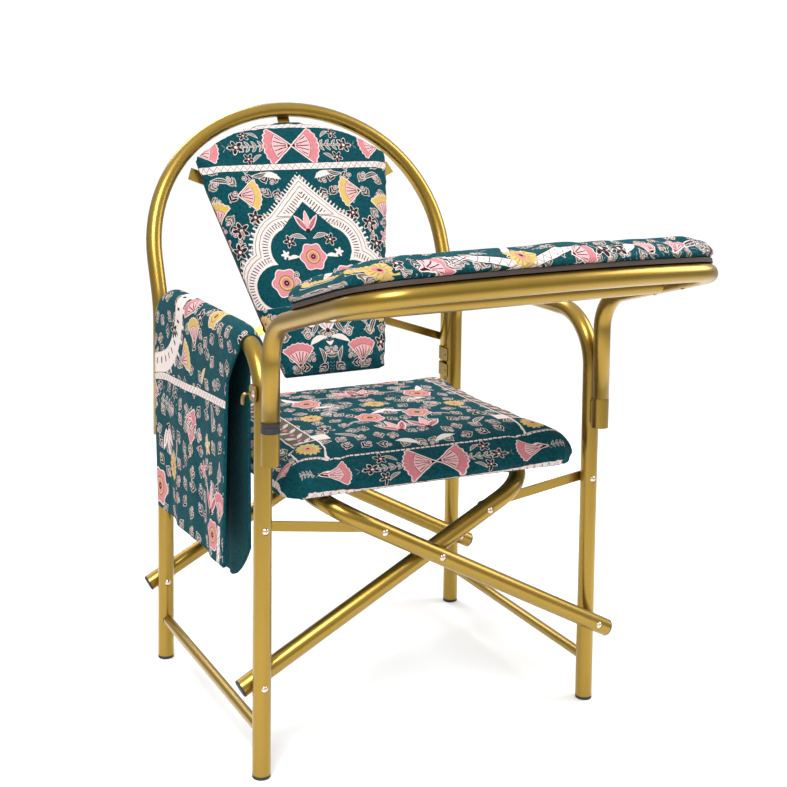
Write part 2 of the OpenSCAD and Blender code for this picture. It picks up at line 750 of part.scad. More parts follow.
// Path of the cover's middle from the outer hem over the armrest to the inner hem
function cover_x(u, outer_z, inner_z) =
    let (r = tube_r + 2 * fit + cover_t / 2, drop_o = arm_z - outer_z, drop_i = arm_z - inner_z)
    u < 0.4 ? [-r, -drop_o * (1 - u / 0.4)]
    : u > 0.6 ? [r, -drop_i * (u - 0.6) / 0.4]
    : let (a = 180 - 180 * (u - 0.4) / 0.2) [r * cos(a), r * sin(a)];
function cover_side(u) =
    u < 0.4 ? [-1, 0] : u > 0.6 ? [1, 0]
    : let (a = 180 - 180 * (u - 0.4) / 0.2) [cos(a), sin(a)];
// How far a point of the path hangs below the armrest, from 0 to 1
function cover_hang(u) = u < 0.4 ? 1 - u / 0.4 : u > 0.6 ? (u - 0.6) / 0.4 : 0;

// How far a line that runs along the armrest, above its middle by rise, has bent down at y
function arm_drop(y, rise) =
    let (front = left_y - half_d + arm_bend, rear = left_y + half_d - arm_bend,
        over = max(0, front - y, y - rear), r = arm_bend + rise)
    r - sqrt(max(0, r * r - over * over));

// Point of one face of the cover: u across the armrest, v from front to rear, f the face
function cover_point(u, v, f) =
    let (h = cover_hang(u), outer = u < 0.5,
        front = -cover_front + (outer ? 42 : 50) * min(1, h * 5),
        rear = cover_rear - 8 * h - (outer ? 18 : 10) * h * h,
        y = front + (rear - front) * v,
        lift = outer ? 0 : 58 * pow(max(0, 1 - v * 5), 1.5),
        c = cover_x(u, outer_hem_z, inner_hem_z + lift),
        fold = outer ? 3.2 * h * (1 + sin(v * 720 + 40)) : 0,
        n = cover_side(u),
        p = c + n * (f * cover_t / 2 + fold))
    [-half_w + p[0], y, arm_z + p[1] - arm_drop(y, max(0, p[1])) * max(0, 1 - 2 * h)];

module arm_cover() {
    us = concat([for (i = [0 : 9]) 0.4 * i / 10], [for (i = [0 : 8]) 0.4 + 0.2 * i / 8],
        [for (i = [1 : 10]) 0.6 + 0.4 * i / 10]);
    // Close steps over the bends at both ends
    vs = concat([for (i = [0 : 4]) 0.084 * i / 4], [for (i = [1 : 9]) 0.084 + 0.716 * i / 9],
        [for (i = [1 : 8]) 0.8 + 0.2 * i / 8]);
    nv = len(vs) - 1;
    nu = len(us);
    side = nu * (nv + 1);
    points = [for (f = [-1, 1]) for (u = us) for (j = [0 : nv]) cover_point(u, vs[j], f)];
    function at(f, i, j) = f * side + i * (nv + 1) + j;
    faces = concat(
        [for (i = [0 : nu - 2]) for (j = [0 : nv - 1])
            each [[at(0, i, j), at(0, i + 1, j), at(0, i, j + 1)],
                [at(0, i, j + 1), at(0, i + 1, j), at(0, i + 1, j + 1)]]],
        [for (i = [0 : nu - 2]) for (j = [0 : nv - 1])
            each [[at(1, i, j), at(1, i, j + 1), at(1, i + 1, j)],
                [at(1, i, j + 1), at(1, i + 1, j + 1), at(1, i + 1, j)]]],
        [for (j = [0 : nv - 1]) for (e = [[0, 1], [nu - 1, 0]])
            each [[at(e[1], e[0], j), at(1 - e[1], e[0], j), at(1 - e[1], e[0], j + 1)],
                [at(e[1], e[0], j), at(1 - e[1], e[0], j + 1), at(e[1], e[0], j + 1)]]],
        [for (i = [0 : nu - 2]) for (e = [[0, 0], [nv, 1]])
            each [[at(e[1], i, e[0]), at(1 - e[1], i, e[0]), at(1 - e[1], i + 1, e[0])],
                [at(e[1], i, e[0]), at(1 - e[1], i + 1, e[0]), at(e[1], i + 1, e[0])]]]);
    color(teal) polyhedron(points, faces);
}

placed() side_frame(-1, left_y);  // left_side_frame
placed() stretcher(-1, left_y);  // left_stretcher
placed() feet(-1, left_y);  // left_feet
placed() desk_socket(-1, left_y, left_socket_z);  // left_desk_socket
placed() desk_pin();  // left_desk_pin
placed() pair_rivets(-half_w, pivot_z);  // left_pivot_rivets
placed() link_rivets(-1, left_y);  // left_link_rivets
placed() back_clips(-1, left_y);  // left_back_clips
placed() bag_hook();
placed() hook_screw();
placed() arm_cover();
placed() side_frame(1, right_y);  // right_side_frame
placed() stretcher(1, right_y);  // right_stretcher
placed() feet(1, right_y);  // right_feet
placed() desk_socket(1, right_y, right_socket_z);  // right_desk_socket
placed() link_rivets(1, right_y);  // right_link_rivets
placed() back_clips(1, right_y);  // right_back_clips
placed() cross_tube(1);  // cross_tube_a
placed() cross_caps(1);  // cross_a_caps
placed() cross_studs(1);  // cross_a_studs
placed() cross_tube(-1);  // cross_tube_b
placed() cross_caps(-1);  // cross_b_caps
placed() cross_studs(-1);  // cross_b_studs
placed() pair_rivets(0, centre_z);  // centre_rivets
placed() pair_rivets(half_w, pivot_z);  // right_pivot_rivets
placed() link(-1, left_y - half_d);  // left_front_link
placed() link(-1, left_y + half_d);  // left_rear_link
placed() link_tails(-1, left_y);  // left_link_tails
placed() link(1, right_y - half_d);  // right_front_link
placed() link(1, right_y + half_d);  // right_rear_link
placed() link_tails(1, right_y);  // right_link_tails
placed() seat_sling();
placed() seat_cushion();
placed() back_hoop();
placed() back_board();
placed() back_pad();
placed() back_strap(-1);  // left_back_strap
placed() back_strap(1);  // right_back_strap
placed() back_screws();
placed() back_tabs();
placed() desk_frame();
placed() desk_cross_tube();
placed() desk_board();
placed() desk_pad();
placed() desk_screws();
placed() desk_ring();
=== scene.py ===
"""A folding prayer chair with a printed back, seat and desk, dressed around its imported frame."""

import json
import math

import bmesh
import bpy
from mathutils import Matrix, Vector, noise

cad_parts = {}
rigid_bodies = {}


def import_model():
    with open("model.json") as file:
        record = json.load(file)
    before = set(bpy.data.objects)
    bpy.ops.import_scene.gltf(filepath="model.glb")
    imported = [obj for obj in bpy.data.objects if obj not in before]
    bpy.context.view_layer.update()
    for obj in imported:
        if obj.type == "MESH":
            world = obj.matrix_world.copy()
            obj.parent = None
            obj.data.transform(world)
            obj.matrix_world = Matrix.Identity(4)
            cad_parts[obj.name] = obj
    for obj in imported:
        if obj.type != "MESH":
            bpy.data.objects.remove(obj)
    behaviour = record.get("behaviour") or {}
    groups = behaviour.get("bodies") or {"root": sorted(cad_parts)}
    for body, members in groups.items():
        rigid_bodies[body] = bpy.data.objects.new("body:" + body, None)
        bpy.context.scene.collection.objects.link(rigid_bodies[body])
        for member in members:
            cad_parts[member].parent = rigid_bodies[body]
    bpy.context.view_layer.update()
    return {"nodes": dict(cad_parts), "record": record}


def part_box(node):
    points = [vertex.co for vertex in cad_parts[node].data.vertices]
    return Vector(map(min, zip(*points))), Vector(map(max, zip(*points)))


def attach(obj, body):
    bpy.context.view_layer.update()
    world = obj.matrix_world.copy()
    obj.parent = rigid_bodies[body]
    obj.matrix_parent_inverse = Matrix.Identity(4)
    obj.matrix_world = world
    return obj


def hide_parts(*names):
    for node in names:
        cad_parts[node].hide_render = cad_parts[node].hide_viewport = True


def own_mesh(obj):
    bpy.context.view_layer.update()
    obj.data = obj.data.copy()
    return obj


bl_info = {
    "name": "Prayer chair",
    "version": (1, 0, 0),
    "blender": (4, 5, 0),
    "location": "View3D > Sidebar > Chair",
    "description": "Builds the finishes and soft parts of a folding prayer chair",
    "category": "Object",
}

for startup_object in list(bpy.data.objects):
    bpy.data.objects.remove(startup_object)
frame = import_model()
NODES = frame["nodes"]

MM = 0.001
# Where the frame lies, in metres. The middle of the side frames is MIDDLE_Y behind the origin,
# and the posts that hold the hoop and the desk loop are POST_Y behind and before that middle.
MIDDLE_Y, POST_Y, TUBE_X = 0.09084, 0.2398, 0.27131
# The arm tube's centre line, half of its depth, and the radius of its bends.
ARM_X, ARM_Z, ARM_HALF, ARM_BEND = 0.271, 0.596, 0.214, 0.080
# The seat's rails, and the radius of the sleeves that the sling forms round them.
RAIL_X, RAIL_Z, SLEEVE = 0.17129, 0.36317, 0.0141
# The pads' heights in their own planes: the flat underside and the highest point.
SEAT_HEIGHTS, BACK_HEIGHTS, DESK_HEIGHTS = (0.37827, 0.43827), (0.0, 0.017), (0.0189, 0.0509)
# In the print, in millimetres: between two small sprigs, and half of a ribbon's length.
SPRIG_GAP, BAND_REACH = 30.0, 320.0


def colour(code):
    """Turns a six-digit sRGB code into the linear colour that Blender uses."""
    parts = [int(code[at:at + 2], 16) / 255 for at in (0, 2, 4)]
    return tuple(p / 12.92 if p < 0.04045 else ((p + 0.055) / 1.055) ** 2.4 for p in parts)


def length_property(name, description, default, lowest):
    return bpy.props.FloatProperty(name=name, description=description, default=default,
                                   min=lowest, subtype="DISTANCE", unit="LENGTH")


def colour_property(name, description, code):
    return bpy.props.FloatVectorProperty(name=name, description=description, size=3, min=0, max=1,
                                         default=colour(code), subtype="COLOR")


class ChairSizes(bpy.types.PropertyGroup):
    """The sizes of the pieces that are modelled here, in metres and radians."""

    tube: length_property("Tube", "Outside diameter of the frame tubes", 0.0254, 0.01)
    wall: length_property("Wall", "Thickness of the tube wall", 0.0012, 0.0005)
    skew: bpy.props.FloatProperty(
        name="Skew", description="Turn of the hoop and the desk from one side frame to the other",
        default=math.radians(2.7464), subtype="ANGLE", unit="ROTATION")
    voxel: length_property("Cushion detail", "Size of the cells that a cushion is stuffed with",
                           0.006, 0.003)
    lining: length_property("Arm cover", "Thickness of the quilted arm cover", 0.0042, 0.001)


class ChairColours(bpy.types.PropertyGroup):
    """The colours of the print and of the metal."""

    teal: colour_property("Ground", "Ground colour of the fabric", "0c5f69")
    gold: colour_property("Gold", "Paint of the tubes", "9c7e31")
    pink: colour_property("Pink", "Fans and rosettes", "c0757c")
    pale: colour_property("Pale pink", "Inner petals", "d9a8a9")
    cream: colour_property("Cream", "Marigolds and sand-coloured fans", "c4a55f")
    white: colour_property("Off-white", "Outlines and ribbons", "d8cbc6")
    dark: colour_property("Dark", "Leaves and fine lines", "231a1b")
    brown: colour_property("Grey-brown", "Borders", "5f554b")


def sizes():
    return bpy.context.scene.chair_sizes


def shade(name):
    return tuple(getattr(bpy.context.scene.chair_colours, name))


# Node helpers


class Term:
    """A value in a node tree. Sums, products and the calls below add Math nodes."""

    def __init__(self, tree, socket):
        self.tree = tree
        self.socket = socket

    def math(self, operation, *values, clamp=False):
        return compute(self.tree, operation, self, *values, clamp=clamp)

    def __add__(self, other):
        return self.math("ADD", other)

    def __sub__(self, other):
        return self.math("SUBTRACT", other)

    def __rsub__(self, other):
        return compute(self.tree, "SUBTRACT", other, self)

    def __mul__(self, other):
        return self.math("MULTIPLY", other)

    def __mod__(self, other):
        return self.math("FLOORED_MODULO", other)

    def __abs__(self):
        return self.math("ABSOLUTE")

    __radd__ = __add__
    __rmul__ = __mul__


def feed(tree, socket, value):
    if isinstance(value, Term):
        tree.links.new(value.socket, socket)
    elif isinstance(value, tuple) and len(value) == 3 and socket.type == "RGBA":
        socket.default_value = value + (1.0,)
    else:
        socket.default_value = value


def feed_all(tree, node, values):
    for name, value in values.items():
        feed(tree, node.inputs[name], value)


def compute(tree, operation, *values, clamp=False):
    node = tree.nodes.new("ShaderNodeMath")
    node.operation = operation
    node.use_clamp = clamp
    for place, value in enumerate(values):
        feed(tree, node.inputs[place], value)
    return Term(tree, node.outputs[0])


def least(first, *others):
    for other in others:
        first = first.math("MINIMUM", other)
    return first


def most(first, *others):
    for other in others:
        first = first.math("MAXIMUM", other)
    return first


def cover(distance, soft=0.6):
    """1 inside a shape and 0 outside, from the distance to its edge."""
    return distance.math("MULTIPLY_ADD", -1 / soft, 0.5, clamp=True)


def paint(tree, under, over, mask):
    node = tree.nodes.new("ShaderNodeMix")
    node.data_type = "RGBA"
    feed(tree, node.inputs[0], mask)
    feed(tree, node.inputs[6], under)
    feed(tree, node.inputs[7], over)
    return Term(tree, node.outputs[2])


def split(tree, vector):
    node = tree.nodes.new("ShaderNodeSeparateXYZ")
    feed(tree, node.inputs[0], vector)
    return [Term(tree, out) for out in node.outputs]


def join(tree, x, y, z=0.0):
    node = tree.nodes.new("ShaderNodeCombineXYZ")
    for place, value in enumerate((x, y, z)):
        feed(tree, node.inputs[place], value)
    return Term(tree, node.outputs[0])


def speckle(tree, vector, scale, detail=2.0, rough=0.5):
    node = tree.nodes.new("ShaderNodeTexNoise")
    feed_all(tree, node, {"Vector": vector, "Scale": scale, "Detail": detail, "Roughness": rough})
    return Term(tree, node.outputs["Fac"])


def polar(x, y):
    reach = (x * x + y * y).math("SQRT")
    return reach, y.math("ARCTAN2", x)


def lens(x, y, length, width):
    """Distance to a leaf that lies along x from 0 to its length."""
    return abs(y) - x * (length - x) * (2 * width / length ** 2)


def waves(turn, number):
    """A ripple that repeats this many times in a full turn."""
    return (turn * number).math("COSINE")


def turned(x, y, degrees):
    c, s = math.cos(math.radians(degrees)), math.sin(math.radians(degrees))
    return x * c + y * s, y * c - x * s


class Art:
    """A print in the making. Each call lays one more thing over what is there."""

    def __init__(self, tree, ground):
        self.tree = tree
        self.ground = ground
        self.result = ground

    def lay(self, tint, distance, soft=0.6, strength=None):
        """Lays a colour, by its name or as it is, wherever the distance is below zero."""
        mask = cover(distance, soft)
        if strength is not None:
            mask = mask * strength
        tint = shade(tint) if isinstance(tint, str) else tint
        self.result = paint(self.tree, self.result, tint, mask)

    def stamp(self, coords, motif, u, v, turn, size, tint="pink"):
        """Prints one motif at u, v in millimetres, turned by degrees."""
        tree = self.tree
        place = tree.nodes.new("ShaderNodeMapping")
        place.vector_type = "TEXTURE"
        feed_all(tree, place, {"Vector": coords, "Location": (u, v, 0.0),
                               "Rotation": (0.0, 0.0, math.radians(turn)),
                               "Scale": (size, size, 1.0)})
        node = tree.nodes.new("ShaderNodeGroup")
        node.node_tree = motif_group(motif)
        feed_all(tree, node, {"Under": self.result, "Place": Term(tree, place.outputs[0]),
                              "Tint": shade(tint)})
        self.result = Term(tree, node.outputs[0])

    def stamps(self, coords, rows):
        for row in rows:
            self.stamp(coords, *row)

    def fill(self, coords, size=1.0):
        """Prints small sprigs at scattered places and turns, between which the ground shows."""
        tree = self.tree
        cells = tree.nodes.new("ShaderNodeTexVoronoi")
        cells.voronoi_dimensions = "2D"
        feed_all(tree, cells, {"Vector": coords, "Scale": 1 / (SPRIG_GAP * size),
                               "Randomness": 0.55})
        px, py, _ = split(tree, coords)
        cx, cy, _ = split(tree, Term(tree, cells.outputs["Position"]))
        chance, other, _ = split(tree, Term(tree, cells.outputs["Color"]))
        lx, ly = (px - cx) * (1 / size), (py - cy) * (1 / size)
        angle = chance * 6.2832
        c, s = angle.math("COSINE"), angle.math("SINE")
        x, y = lx * c + ly * s, ly * c - lx * s
        side = abs(y)
        lower = lens(*turned(x + 7.0, side, 38), 13.0, 4.0)
        upper = lens(*turned(x - 0.5, side, 50), 9.0, 3.2)
        edge = least(lower, upper, most(side - 0.6, abs(x) - 9.0))
        bud, _ = polar(x - 9.5, y)
        edge = least(edge, bud - 3.0)
        self.lay("white", edge - 0.8)
        tint = paint(tree, shade("dark"), shade("brown"), cover(other - 0.6, 0.05))
        self.lay(tint, edge)
        self.lay("pale", bud - 1.9)


# Motifs of the print, each in its own node group, in millimetres. Flowers lie round the origin,
# and the rest run along x.


def fan(art, x, y, tint):
    radius, half = 46.0, math.radians(41)
    reach, turn = polar(x, abs(y))
    edge = most(reach - (waves(turn, 30) * 0.9 + radius),
                abs(y) * math.cos(half) - x * math.sin(half))
    art.lay("white", edge - 1.6)
    art.lay(tint, edge)
    inner = most(edge + 1.6, reach - 0.7 * radius)
    art.lay("dark", inner - 0.7)
    art.lay("pale", inner)
    ribs = abs((turn * 12).math("SINE")) * reach * 0.085 - 0.75
    art.lay("dark", most(ribs, inner + 2.0, 9.0 - reach))
    art.lay("dark", most(reach - 6.5, edge + 0.8))


def rosette(art, x, y, tint):
    reach, turn = polar(x, y)
    petals = waves(turn, 6)
    edge = reach - (petals * 2.0 + 22.0)
    art.lay("white", edge - 1.8)
    art.lay(tint, edge)
    veins = most(abs((reach * 0.9 + petals * 1.5).math("SINE")) - 0.25, 13.0 - reach)
    art.lay("pale", most(veins, edge + 1.5), 0.9, 0.75)
    art.lay("cream", reach - 12.0)
    art.lay("dark", abs(reach - 12.0) - 0.5)
    art.lay(tint, reach - 8.5)
    art.lay("dark", most(reach - 4.6, 1.6 - reach))


def blossom(art, x, y, tint):
    reach, turn = polar(x, y)
    petals = waves(turn, 5)
    edge = reach - (petals * 4.0 + 10.0)
    art.lay("white", edge - 1.5)
    art.lay(tint, edge)
    art.lay("pale", most(abs(petals) * 6 - 1.2, edge + 3, 4 - reach), strength=0.6)
    art.lay("white", reach - 2.6)


def marigold(art, x, y, tint):
    reach, turn = polar(x, y)
    edge = reach - (waves(turn, 13) * 1.7 + 17.0)
    art.lay(tint, edge)
    art.lay("white", abs(edge + 5.0) - 0.5, strength=0.5)
    lines = abs((turn * 9).math("SINE")) * reach * 0.11 - 0.5
    art.lay("brown", most(lines, edge + 2, 6 - reach), strength=0.6)
    art.lay("pink", reach - 5.0)
    art.lay("dark", reach - 2.0)


def sprig(art, x, y, tint):
    length, side = 62.0, abs(y)
    local = x % 15.5 - 2.0
    a, b = turned(local, side, 52)
    leaves = lens(a, b, 15.0, 4.4)
    edge = most(least(leaves, side - 0.7), -1 * x, x - length)
    art.lay("white", edge - 1.2)
    art.lay(tint, edge)
    berry, _ = polar(x - (length + 3), y)
    art.lay("white", berry - 5.2)
    art.lay("pink", berry - 3.8)
    art.lay("white", most(abs(b) - 0.35, leaves + 1.0, x - length), strength=0.7)


def tulip(art, x, y, tint):
    length, side = 36.0, abs(y)
    middle = lens(x, y, length, 9.0)
    outer = lens(*turned(x, side, 36), length * 0.95, 8.0)
    edge = least(middle, outer)
    art.lay("white", edge - 1.5)
    art.lay(tint, edge)
    art.lay("pale", middle + 1.2)
    lines = abs((y * 1.5).math("SINE")) - 0.3
    art.lay("dark", most(lines, middle + 2.6), strength=0.8)
    art.lay("dark", abs(outer + 2.6) - 0.4, strength=cover(2.5 - side))
    foot, _ = polar(x - 1.0, y)
    art.lay("dark", foot - 4.2)


def leaf(art, x, y, tint):
    length = 34.0
    bent = y - x * (length - x) * 0.012
    edge = lens(x, bent, length, 8.0)
    art.lay("white", edge - 1.4)
    art.lay(tint, edge)
    side_veins = abs(((x + abs(bent)) * 0.9).math("SINE")) - 0.22
    veins = least(abs(bent) - 0.4, most(side_veins, edge + 1.4))
    art.lay("white", most(veins, edge + 1.0), strength=0.8)


def scroll(art, x, y, tint):
    reach, _ = polar(x, y)
    curl, _ = polar(x + 18.0, y)
    edge = least(most(abs(reach - 22.0) - 0.9, -1 * y), abs(curl - 4.0) - 1.1)
    art.lay("white", edge - 1.0)
    art.lay(tint, edge)


def ribbon(art, x, y, tint):
    edge = most(abs(y) - 5.4, abs(x) - BAND_REACH)
    zigzag = abs(x % 12.0 - 6.0) * 1.4 - 4.2
    art.lay("dark", edge - 0.9)
    art.lay(tint, edge)
    art.lay("dark", most(abs(y - zigzag) - 0.75, edge + 0.6), strength=0.85)


def border(art, x, y, tint):
    """A band with white leaves in pairs between two white lines."""
    edge = most(abs(y) - 19.0, abs(x) - BAND_REACH)
    art.lay("white", edge - 2.2)
    art.lay(tint, edge)
    local = x % 30.0 - 4.0
    a, b = turned(local, abs(y), 40)
    leaves = lens(a, b - 0.5, 24.0, 7.0)
    art.lay("white", most(leaves, edge + 1.5))
    art.lay("dark", most(abs(leaves + 1.6) - 0.4, edge + 1.5), strength=0.8)
    bud, _ = polar(local - 20.0, y)
    art.lay("pink", bud - 4.0)


def dashes(art, x, y, tint):
    edge = most(abs(y) - 1.5, abs(x) - BAND_REACH)
    art.lay("dark", edge - 0.6)
    art.lay(tint, most(edge, abs(x % 8.0 - 4.0) - 3.2))


def motif_group(motif):
    """The node group of a motif, made the first time that it is asked for."""
    name = "motif_" + motif.__name__
    group = bpy.data.node_groups.get(name)
    if group:
        return group
    group = bpy.data.node_groups.new(name, "ShaderNodeTree")
    for word, kind in (("Under", "Color"), ("Place", "Vector"), ("Tint", "Color")):
        group.interface.new_socket(word, in_out="INPUT", socket_type="NodeSocket" + kind)
    group.interface.new_socket("Colour", in_out="OUTPUT", socket_type="NodeSocketColor")
    entry = group.nodes.new("NodeGroupInput")
    leave = group.nodes.new("NodeGroupOutput")
    under, place, tint = [Term(group, out) for out in list(entry.outputs)[:3]]
    x, y, _ = split(group, place)
    art = Art(group, under)
    motif(art, x, y, tint)
    feed(group, leave.inputs["Colour"], art.result)
    return group


# Prints. Each takes the place on the flat cloth, in millimetres. A row is a motif, where it
# stands, its turn in degrees, its size and, unless it is pink, its colour.


STRIP = [
    (sprig, 52, 0, 0, 0.8, "dark"), (fan, 0, 0, 0, 1.12), (blossom, 84, 23, 20, 0.75, "dark"),
    (blossom, 84, -23, 50, 0.75, "dark"), (blossom, 103, 0, 0, 1.0, "dark"),
    (leaf, 60, 16, 35, 0.6, "brown"), (leaf, 60, -16, -35, 0.6, "brown"), (fan, 176, 0, 180, 0.9),
    (sprig, 184, 0, 0, 0.7, "dark"),
]


def back_print(art, flat):
    """The back panel: one half, mirrored, with a pointed arch under a strip of fans."""
    tree = art.tree
    u, v, _ = flat
    middle = abs(u + 8.0)
    half = join(tree, middle, v)
    slope = (middle + v - 342.0) * 0.7071
    side_1, turn_1 = polar(middle - 37.0, v - 213.0)
    side_2, turn_2 = polar(middle - 70.0, v - 150.0)
    arch = least(most(slope, 262.0 - v), side_1 - 69.0, side_2 - 70.0)
    inner = least(most(slope + 31.0, 235.0 - v), side_1 - 38.0, side_2 - 39.0,
                  most(middle - 52.0, v - 238.0))
    upper_lobe = cover(side_1 - side_2 + 1.0, 1.0)
    run = turn_1 * 53.0 * upper_lobe + turn_2 * 54.0 * (1 - upper_lobe)
    gable = cover(258.0 - v, 2.0)
    run = (middle - v) * 0.7071 * gable + run * (1 - gable)
    cut = 116.0 - v
    art.fill(half)
    art.lay("white", most(arch, cut))
    comb = abs(run % 7.0 - 3.5) - 1.2
    art.lay("white", most(comb, arch - 7.0, -1 * arch, cut))
    band = most(arch, -1 * inner, cut)
    ticks = abs(run % 5.6 - 2.8) - 0.9
    art.lay("dark", most(abs(arch + 21.0) - 5.0, ticks, band))
    art.lay("brown", most(abs(arch + 11.0) - 0.6, band))
    art.lay("brown", most(abs(arch + 4.0) - 0.5, band))
    art.lay(art.ground, most(inner, cut))
    art.stamps(half, [
        (fan, 116, 314, 180, 0.9, "cream"), (fan, 163, 262, 92, 0.95, "cream"),
        (leaf, 34, 342, 12, 1.0, "white"), (leaf, 84, 348, 168, 0.8, "dark"),
        (leaf, 128, 336, 15, 0.9, "dark"), (blossom, 120, 253, 0, 1.0, "dark"),
        (blossom, 92, 274, 30, 0.9, "dark"), (blossom, 128, 217, 15, 1.0, "dark"),
        (blossom, 155, 230, 0, 1.0), (leaf, 118, 238, 80, 0.5, "brown"), (tulip, 0, 244, 90, 1.0),
        (leaf, 8, 232, 10, 0.8, "brown"), (blossom, 38, 228, 0, 0.8, "dark"),
        (rosette, 0, 199, 0, 1.0), (leaf, 26, 200, -8, 0.6, "white"),
        (blossom, 50, 205, 0, 0.55, "white"), (rosette, 58, 156, 0, 1.05),
        (scroll, 22, 164, 200, 0.9, "brown"), (leaf, 20, 132, 20, 0.8, "dark"),
        (tulip, 0, 70, 90, 0.95, "white"), (leaf, 6, 60, -20, 0.9, "white"),
        (leaf, 6, 52, 200, 0.6, "white"), (sprig, 0, 108, 90, 0.4, "dark"), (fan, 58, 14, 90, 0.84),
        (scroll, 56, 64, 0, 1.0, "brown"), (leaf, 82, 60, 62, 0.9, "dark"),
        (leaf, 30, 66, 118, 0.8, "dark"), (marigold, 108, 92, 0, 0.8, "cream"),
        (blossom, 100, 44, 0, 0.9, "dark"), (leaf, 14, 18, 74, 0.7, "dark"),
    ])
    art.lay(art.ground, 362.0 - v)
    art.stamps(join(tree, middle, v - 402.0), STRIP)
    art.stamps(half, [(ribbon, 0, 363, 0, 1.0, "white"), (ribbon, 0, 444, 0, 1.0, "white")])


def seat_print(art, flat):
    """The seat: a mirrored field between side borders, with a strip of fans over the front edge."""
    tree = art.tree
    u, v, _ = flat
    middle = abs(u)
    half = join(tree, middle, v)
    art.fill(half)
    art.stamps(half, [
        (rosette, 97, 50, 0, 0.95), (rosette, 40, -60, 30, 0.9), (tulip, 6, 70, 60, 1.2),
        (tulip, 22, -132, 80, 1.2), (marigold, 122, -28, 0, 0.95, "cream"),
        (marigold, 0, 8, 0, 0.9, "cream"), (leaf, 28, -40, 150, 1.0, "white"),
        (leaf, 60, 10, 20, 1.1, "white"), (sprig, 60, 32, -60, 0.9, "brown"),
        (scroll, 62, -96, 30, 1.1, "brown"), (scroll, 60, 96, 200, 1.1, "brown"),
        (blossom, 128, -92, 0, 1.0, "dark"), (blossom, 46, 128, 0, 1.0, "dark"),
        (leaf, 96, -140, 40, 1.0, "brown"), (rosette, 92, 150, 0, 0.8),
        (marigold, 0, 168, 0, 0.9, "cream"), (leaf, 120, 96, 240, 1.0, "white"),
        (leaf, 14, -176, 20, 1.0, "white"), (border, 178, 0, 90, 0.92, "brown"),
    ])
    corner = most(abs(middle - 186.0), abs(v + 160.0)) - 25.0
    step = most(abs(middle - 150.0), abs(v + 124.0)) - 12.0
    art.lay("white", least(corner - 3.0, step))
    art.lay(art.ground, corner)
    art.stamp(half, marigold, 184, -160, 0, 1.05, "cream")
    art.lay(art.ground, v + 186.0)
    art.stamps(join(tree, middle, v + 224.0), STRIP)
    art.stamps(half, [(ribbon, 0, -264, 0, 1.0, "white"), (dashes, 0, -188, 0, 1.0, "white")])
    art.lay(art.ground, 226.0 - middle)
    art.stamps(join(tree, abs(v), middle), [
        (fan, 0, 248, 0, 0.8), (marigold, 62, 246, 0, 1.0, "cream"),
        (sprig, 90, 248, 0, 0.9, "dark"), (fan, 205, 248, 180, 0.8),
        (ribbon, 0, 278, 0, 1.0, "white"),
    ])


def desk_print(art, flat):
    """The top of the desk pad."""
    u, v, _ = flat
    whole = join(art.tree, u, v)
    art.fill(whole)
    art.stamps(whole, [
        (ribbon, -92, 70, 44, 1.0, "white"), (ribbon, 33, 3, 65, 1.0, "white"),
        (fan, -150, 78, 20, 0.95), (marigold, -190, -30, 0, 1.1, "cream"),
        (sprig, -120, 150, 10, 1.0, "dark"), (marigold, -10, 34, 0, 1.2, "cream"),
        (leaf, 16, 60, 20, 1.0, "dark"), (fan, 100, 80, -30, 1.0),
        (blossom, 142, 20, 0, 1.3, "dark"), (sprig, 130, 60, 50, 0.8, "dark"),
        (fan, 190, -40, 100, 1.0), (fan, 200, -50, 190, 0.9), (sprig, 196, 40, 20, 0.8, "dark"),
        (rosette, -60, -60, 0, 1.0), (tulip, 60, -120, 60, 1.2),
        (scroll, -120, -90, 40, 1.1, "brown"), (leaf, 90, -60, 200, 1.1, "white"),
        (leaf, -40, 110, 70, 1.0, "dark"), (rosette, 60, 150, 0, 0.8), (tulip, -60, 176, 250, 1.0),
        (marigold, 150, 130, 0, 1.0, "cream"), (blossom, -90, -170, 0, 1.2, "dark"),
        (fan, 0, -170, 80, 0.9, "cream"), (leaf, 150, -130, 120, 1.1, "white"),
        (blossom, 228, 10, 0, 0.9), (blossom, -236, 40, 0, 1.0, "dark"),
        (leaf, -230, -90, 60, 1.0, "white"),
    ])


def rim_print(art, flat):
    """The rim of the desk pad: u runs across, and the height up the rim."""
    u, _, height = flat
    place = join(art.tree, u, height)
    art.fill(place, 0.8)
    art.stamps(place, [
        (ribbon, -128, 36, -16, 1.0, "white"), (ribbon, -34, 34, 17, 1.0, "white"),
        (marigold, -258, 34, 0, 0.9, "cream"), (fan, -206, 28, 14, 0.78),
        (blossom, -232, 40, 0, 0.6, "dark"), (sprig, -176, 30, 16, 0.62, "dark"),
        (marigold, -74, 36, 0, 1.0, "cream"), (leaf, -60, 44, 20, 0.8, "brown"),
        (fan, -6, 32, 8, 0.76), (blossom, 44, 38, 0, 0.95, "dark"),
        (leaf, 56, 32, 30, 0.8, "brown"), (blossom, 74, 36, 20, 0.8, "dark"),
        (leaf, 82, 30, 24, 0.8, "white"), (fan, 128, 26, 96, 0.72), (fan, 168, 26, 60, 0.72),
        (leaf, 196, 34, 10, 0.8, "dark"), (sprig, 212, 34, 5, 0.6, "dark"),
        (rosette, 270, 34, 0, 0.6),
    ])


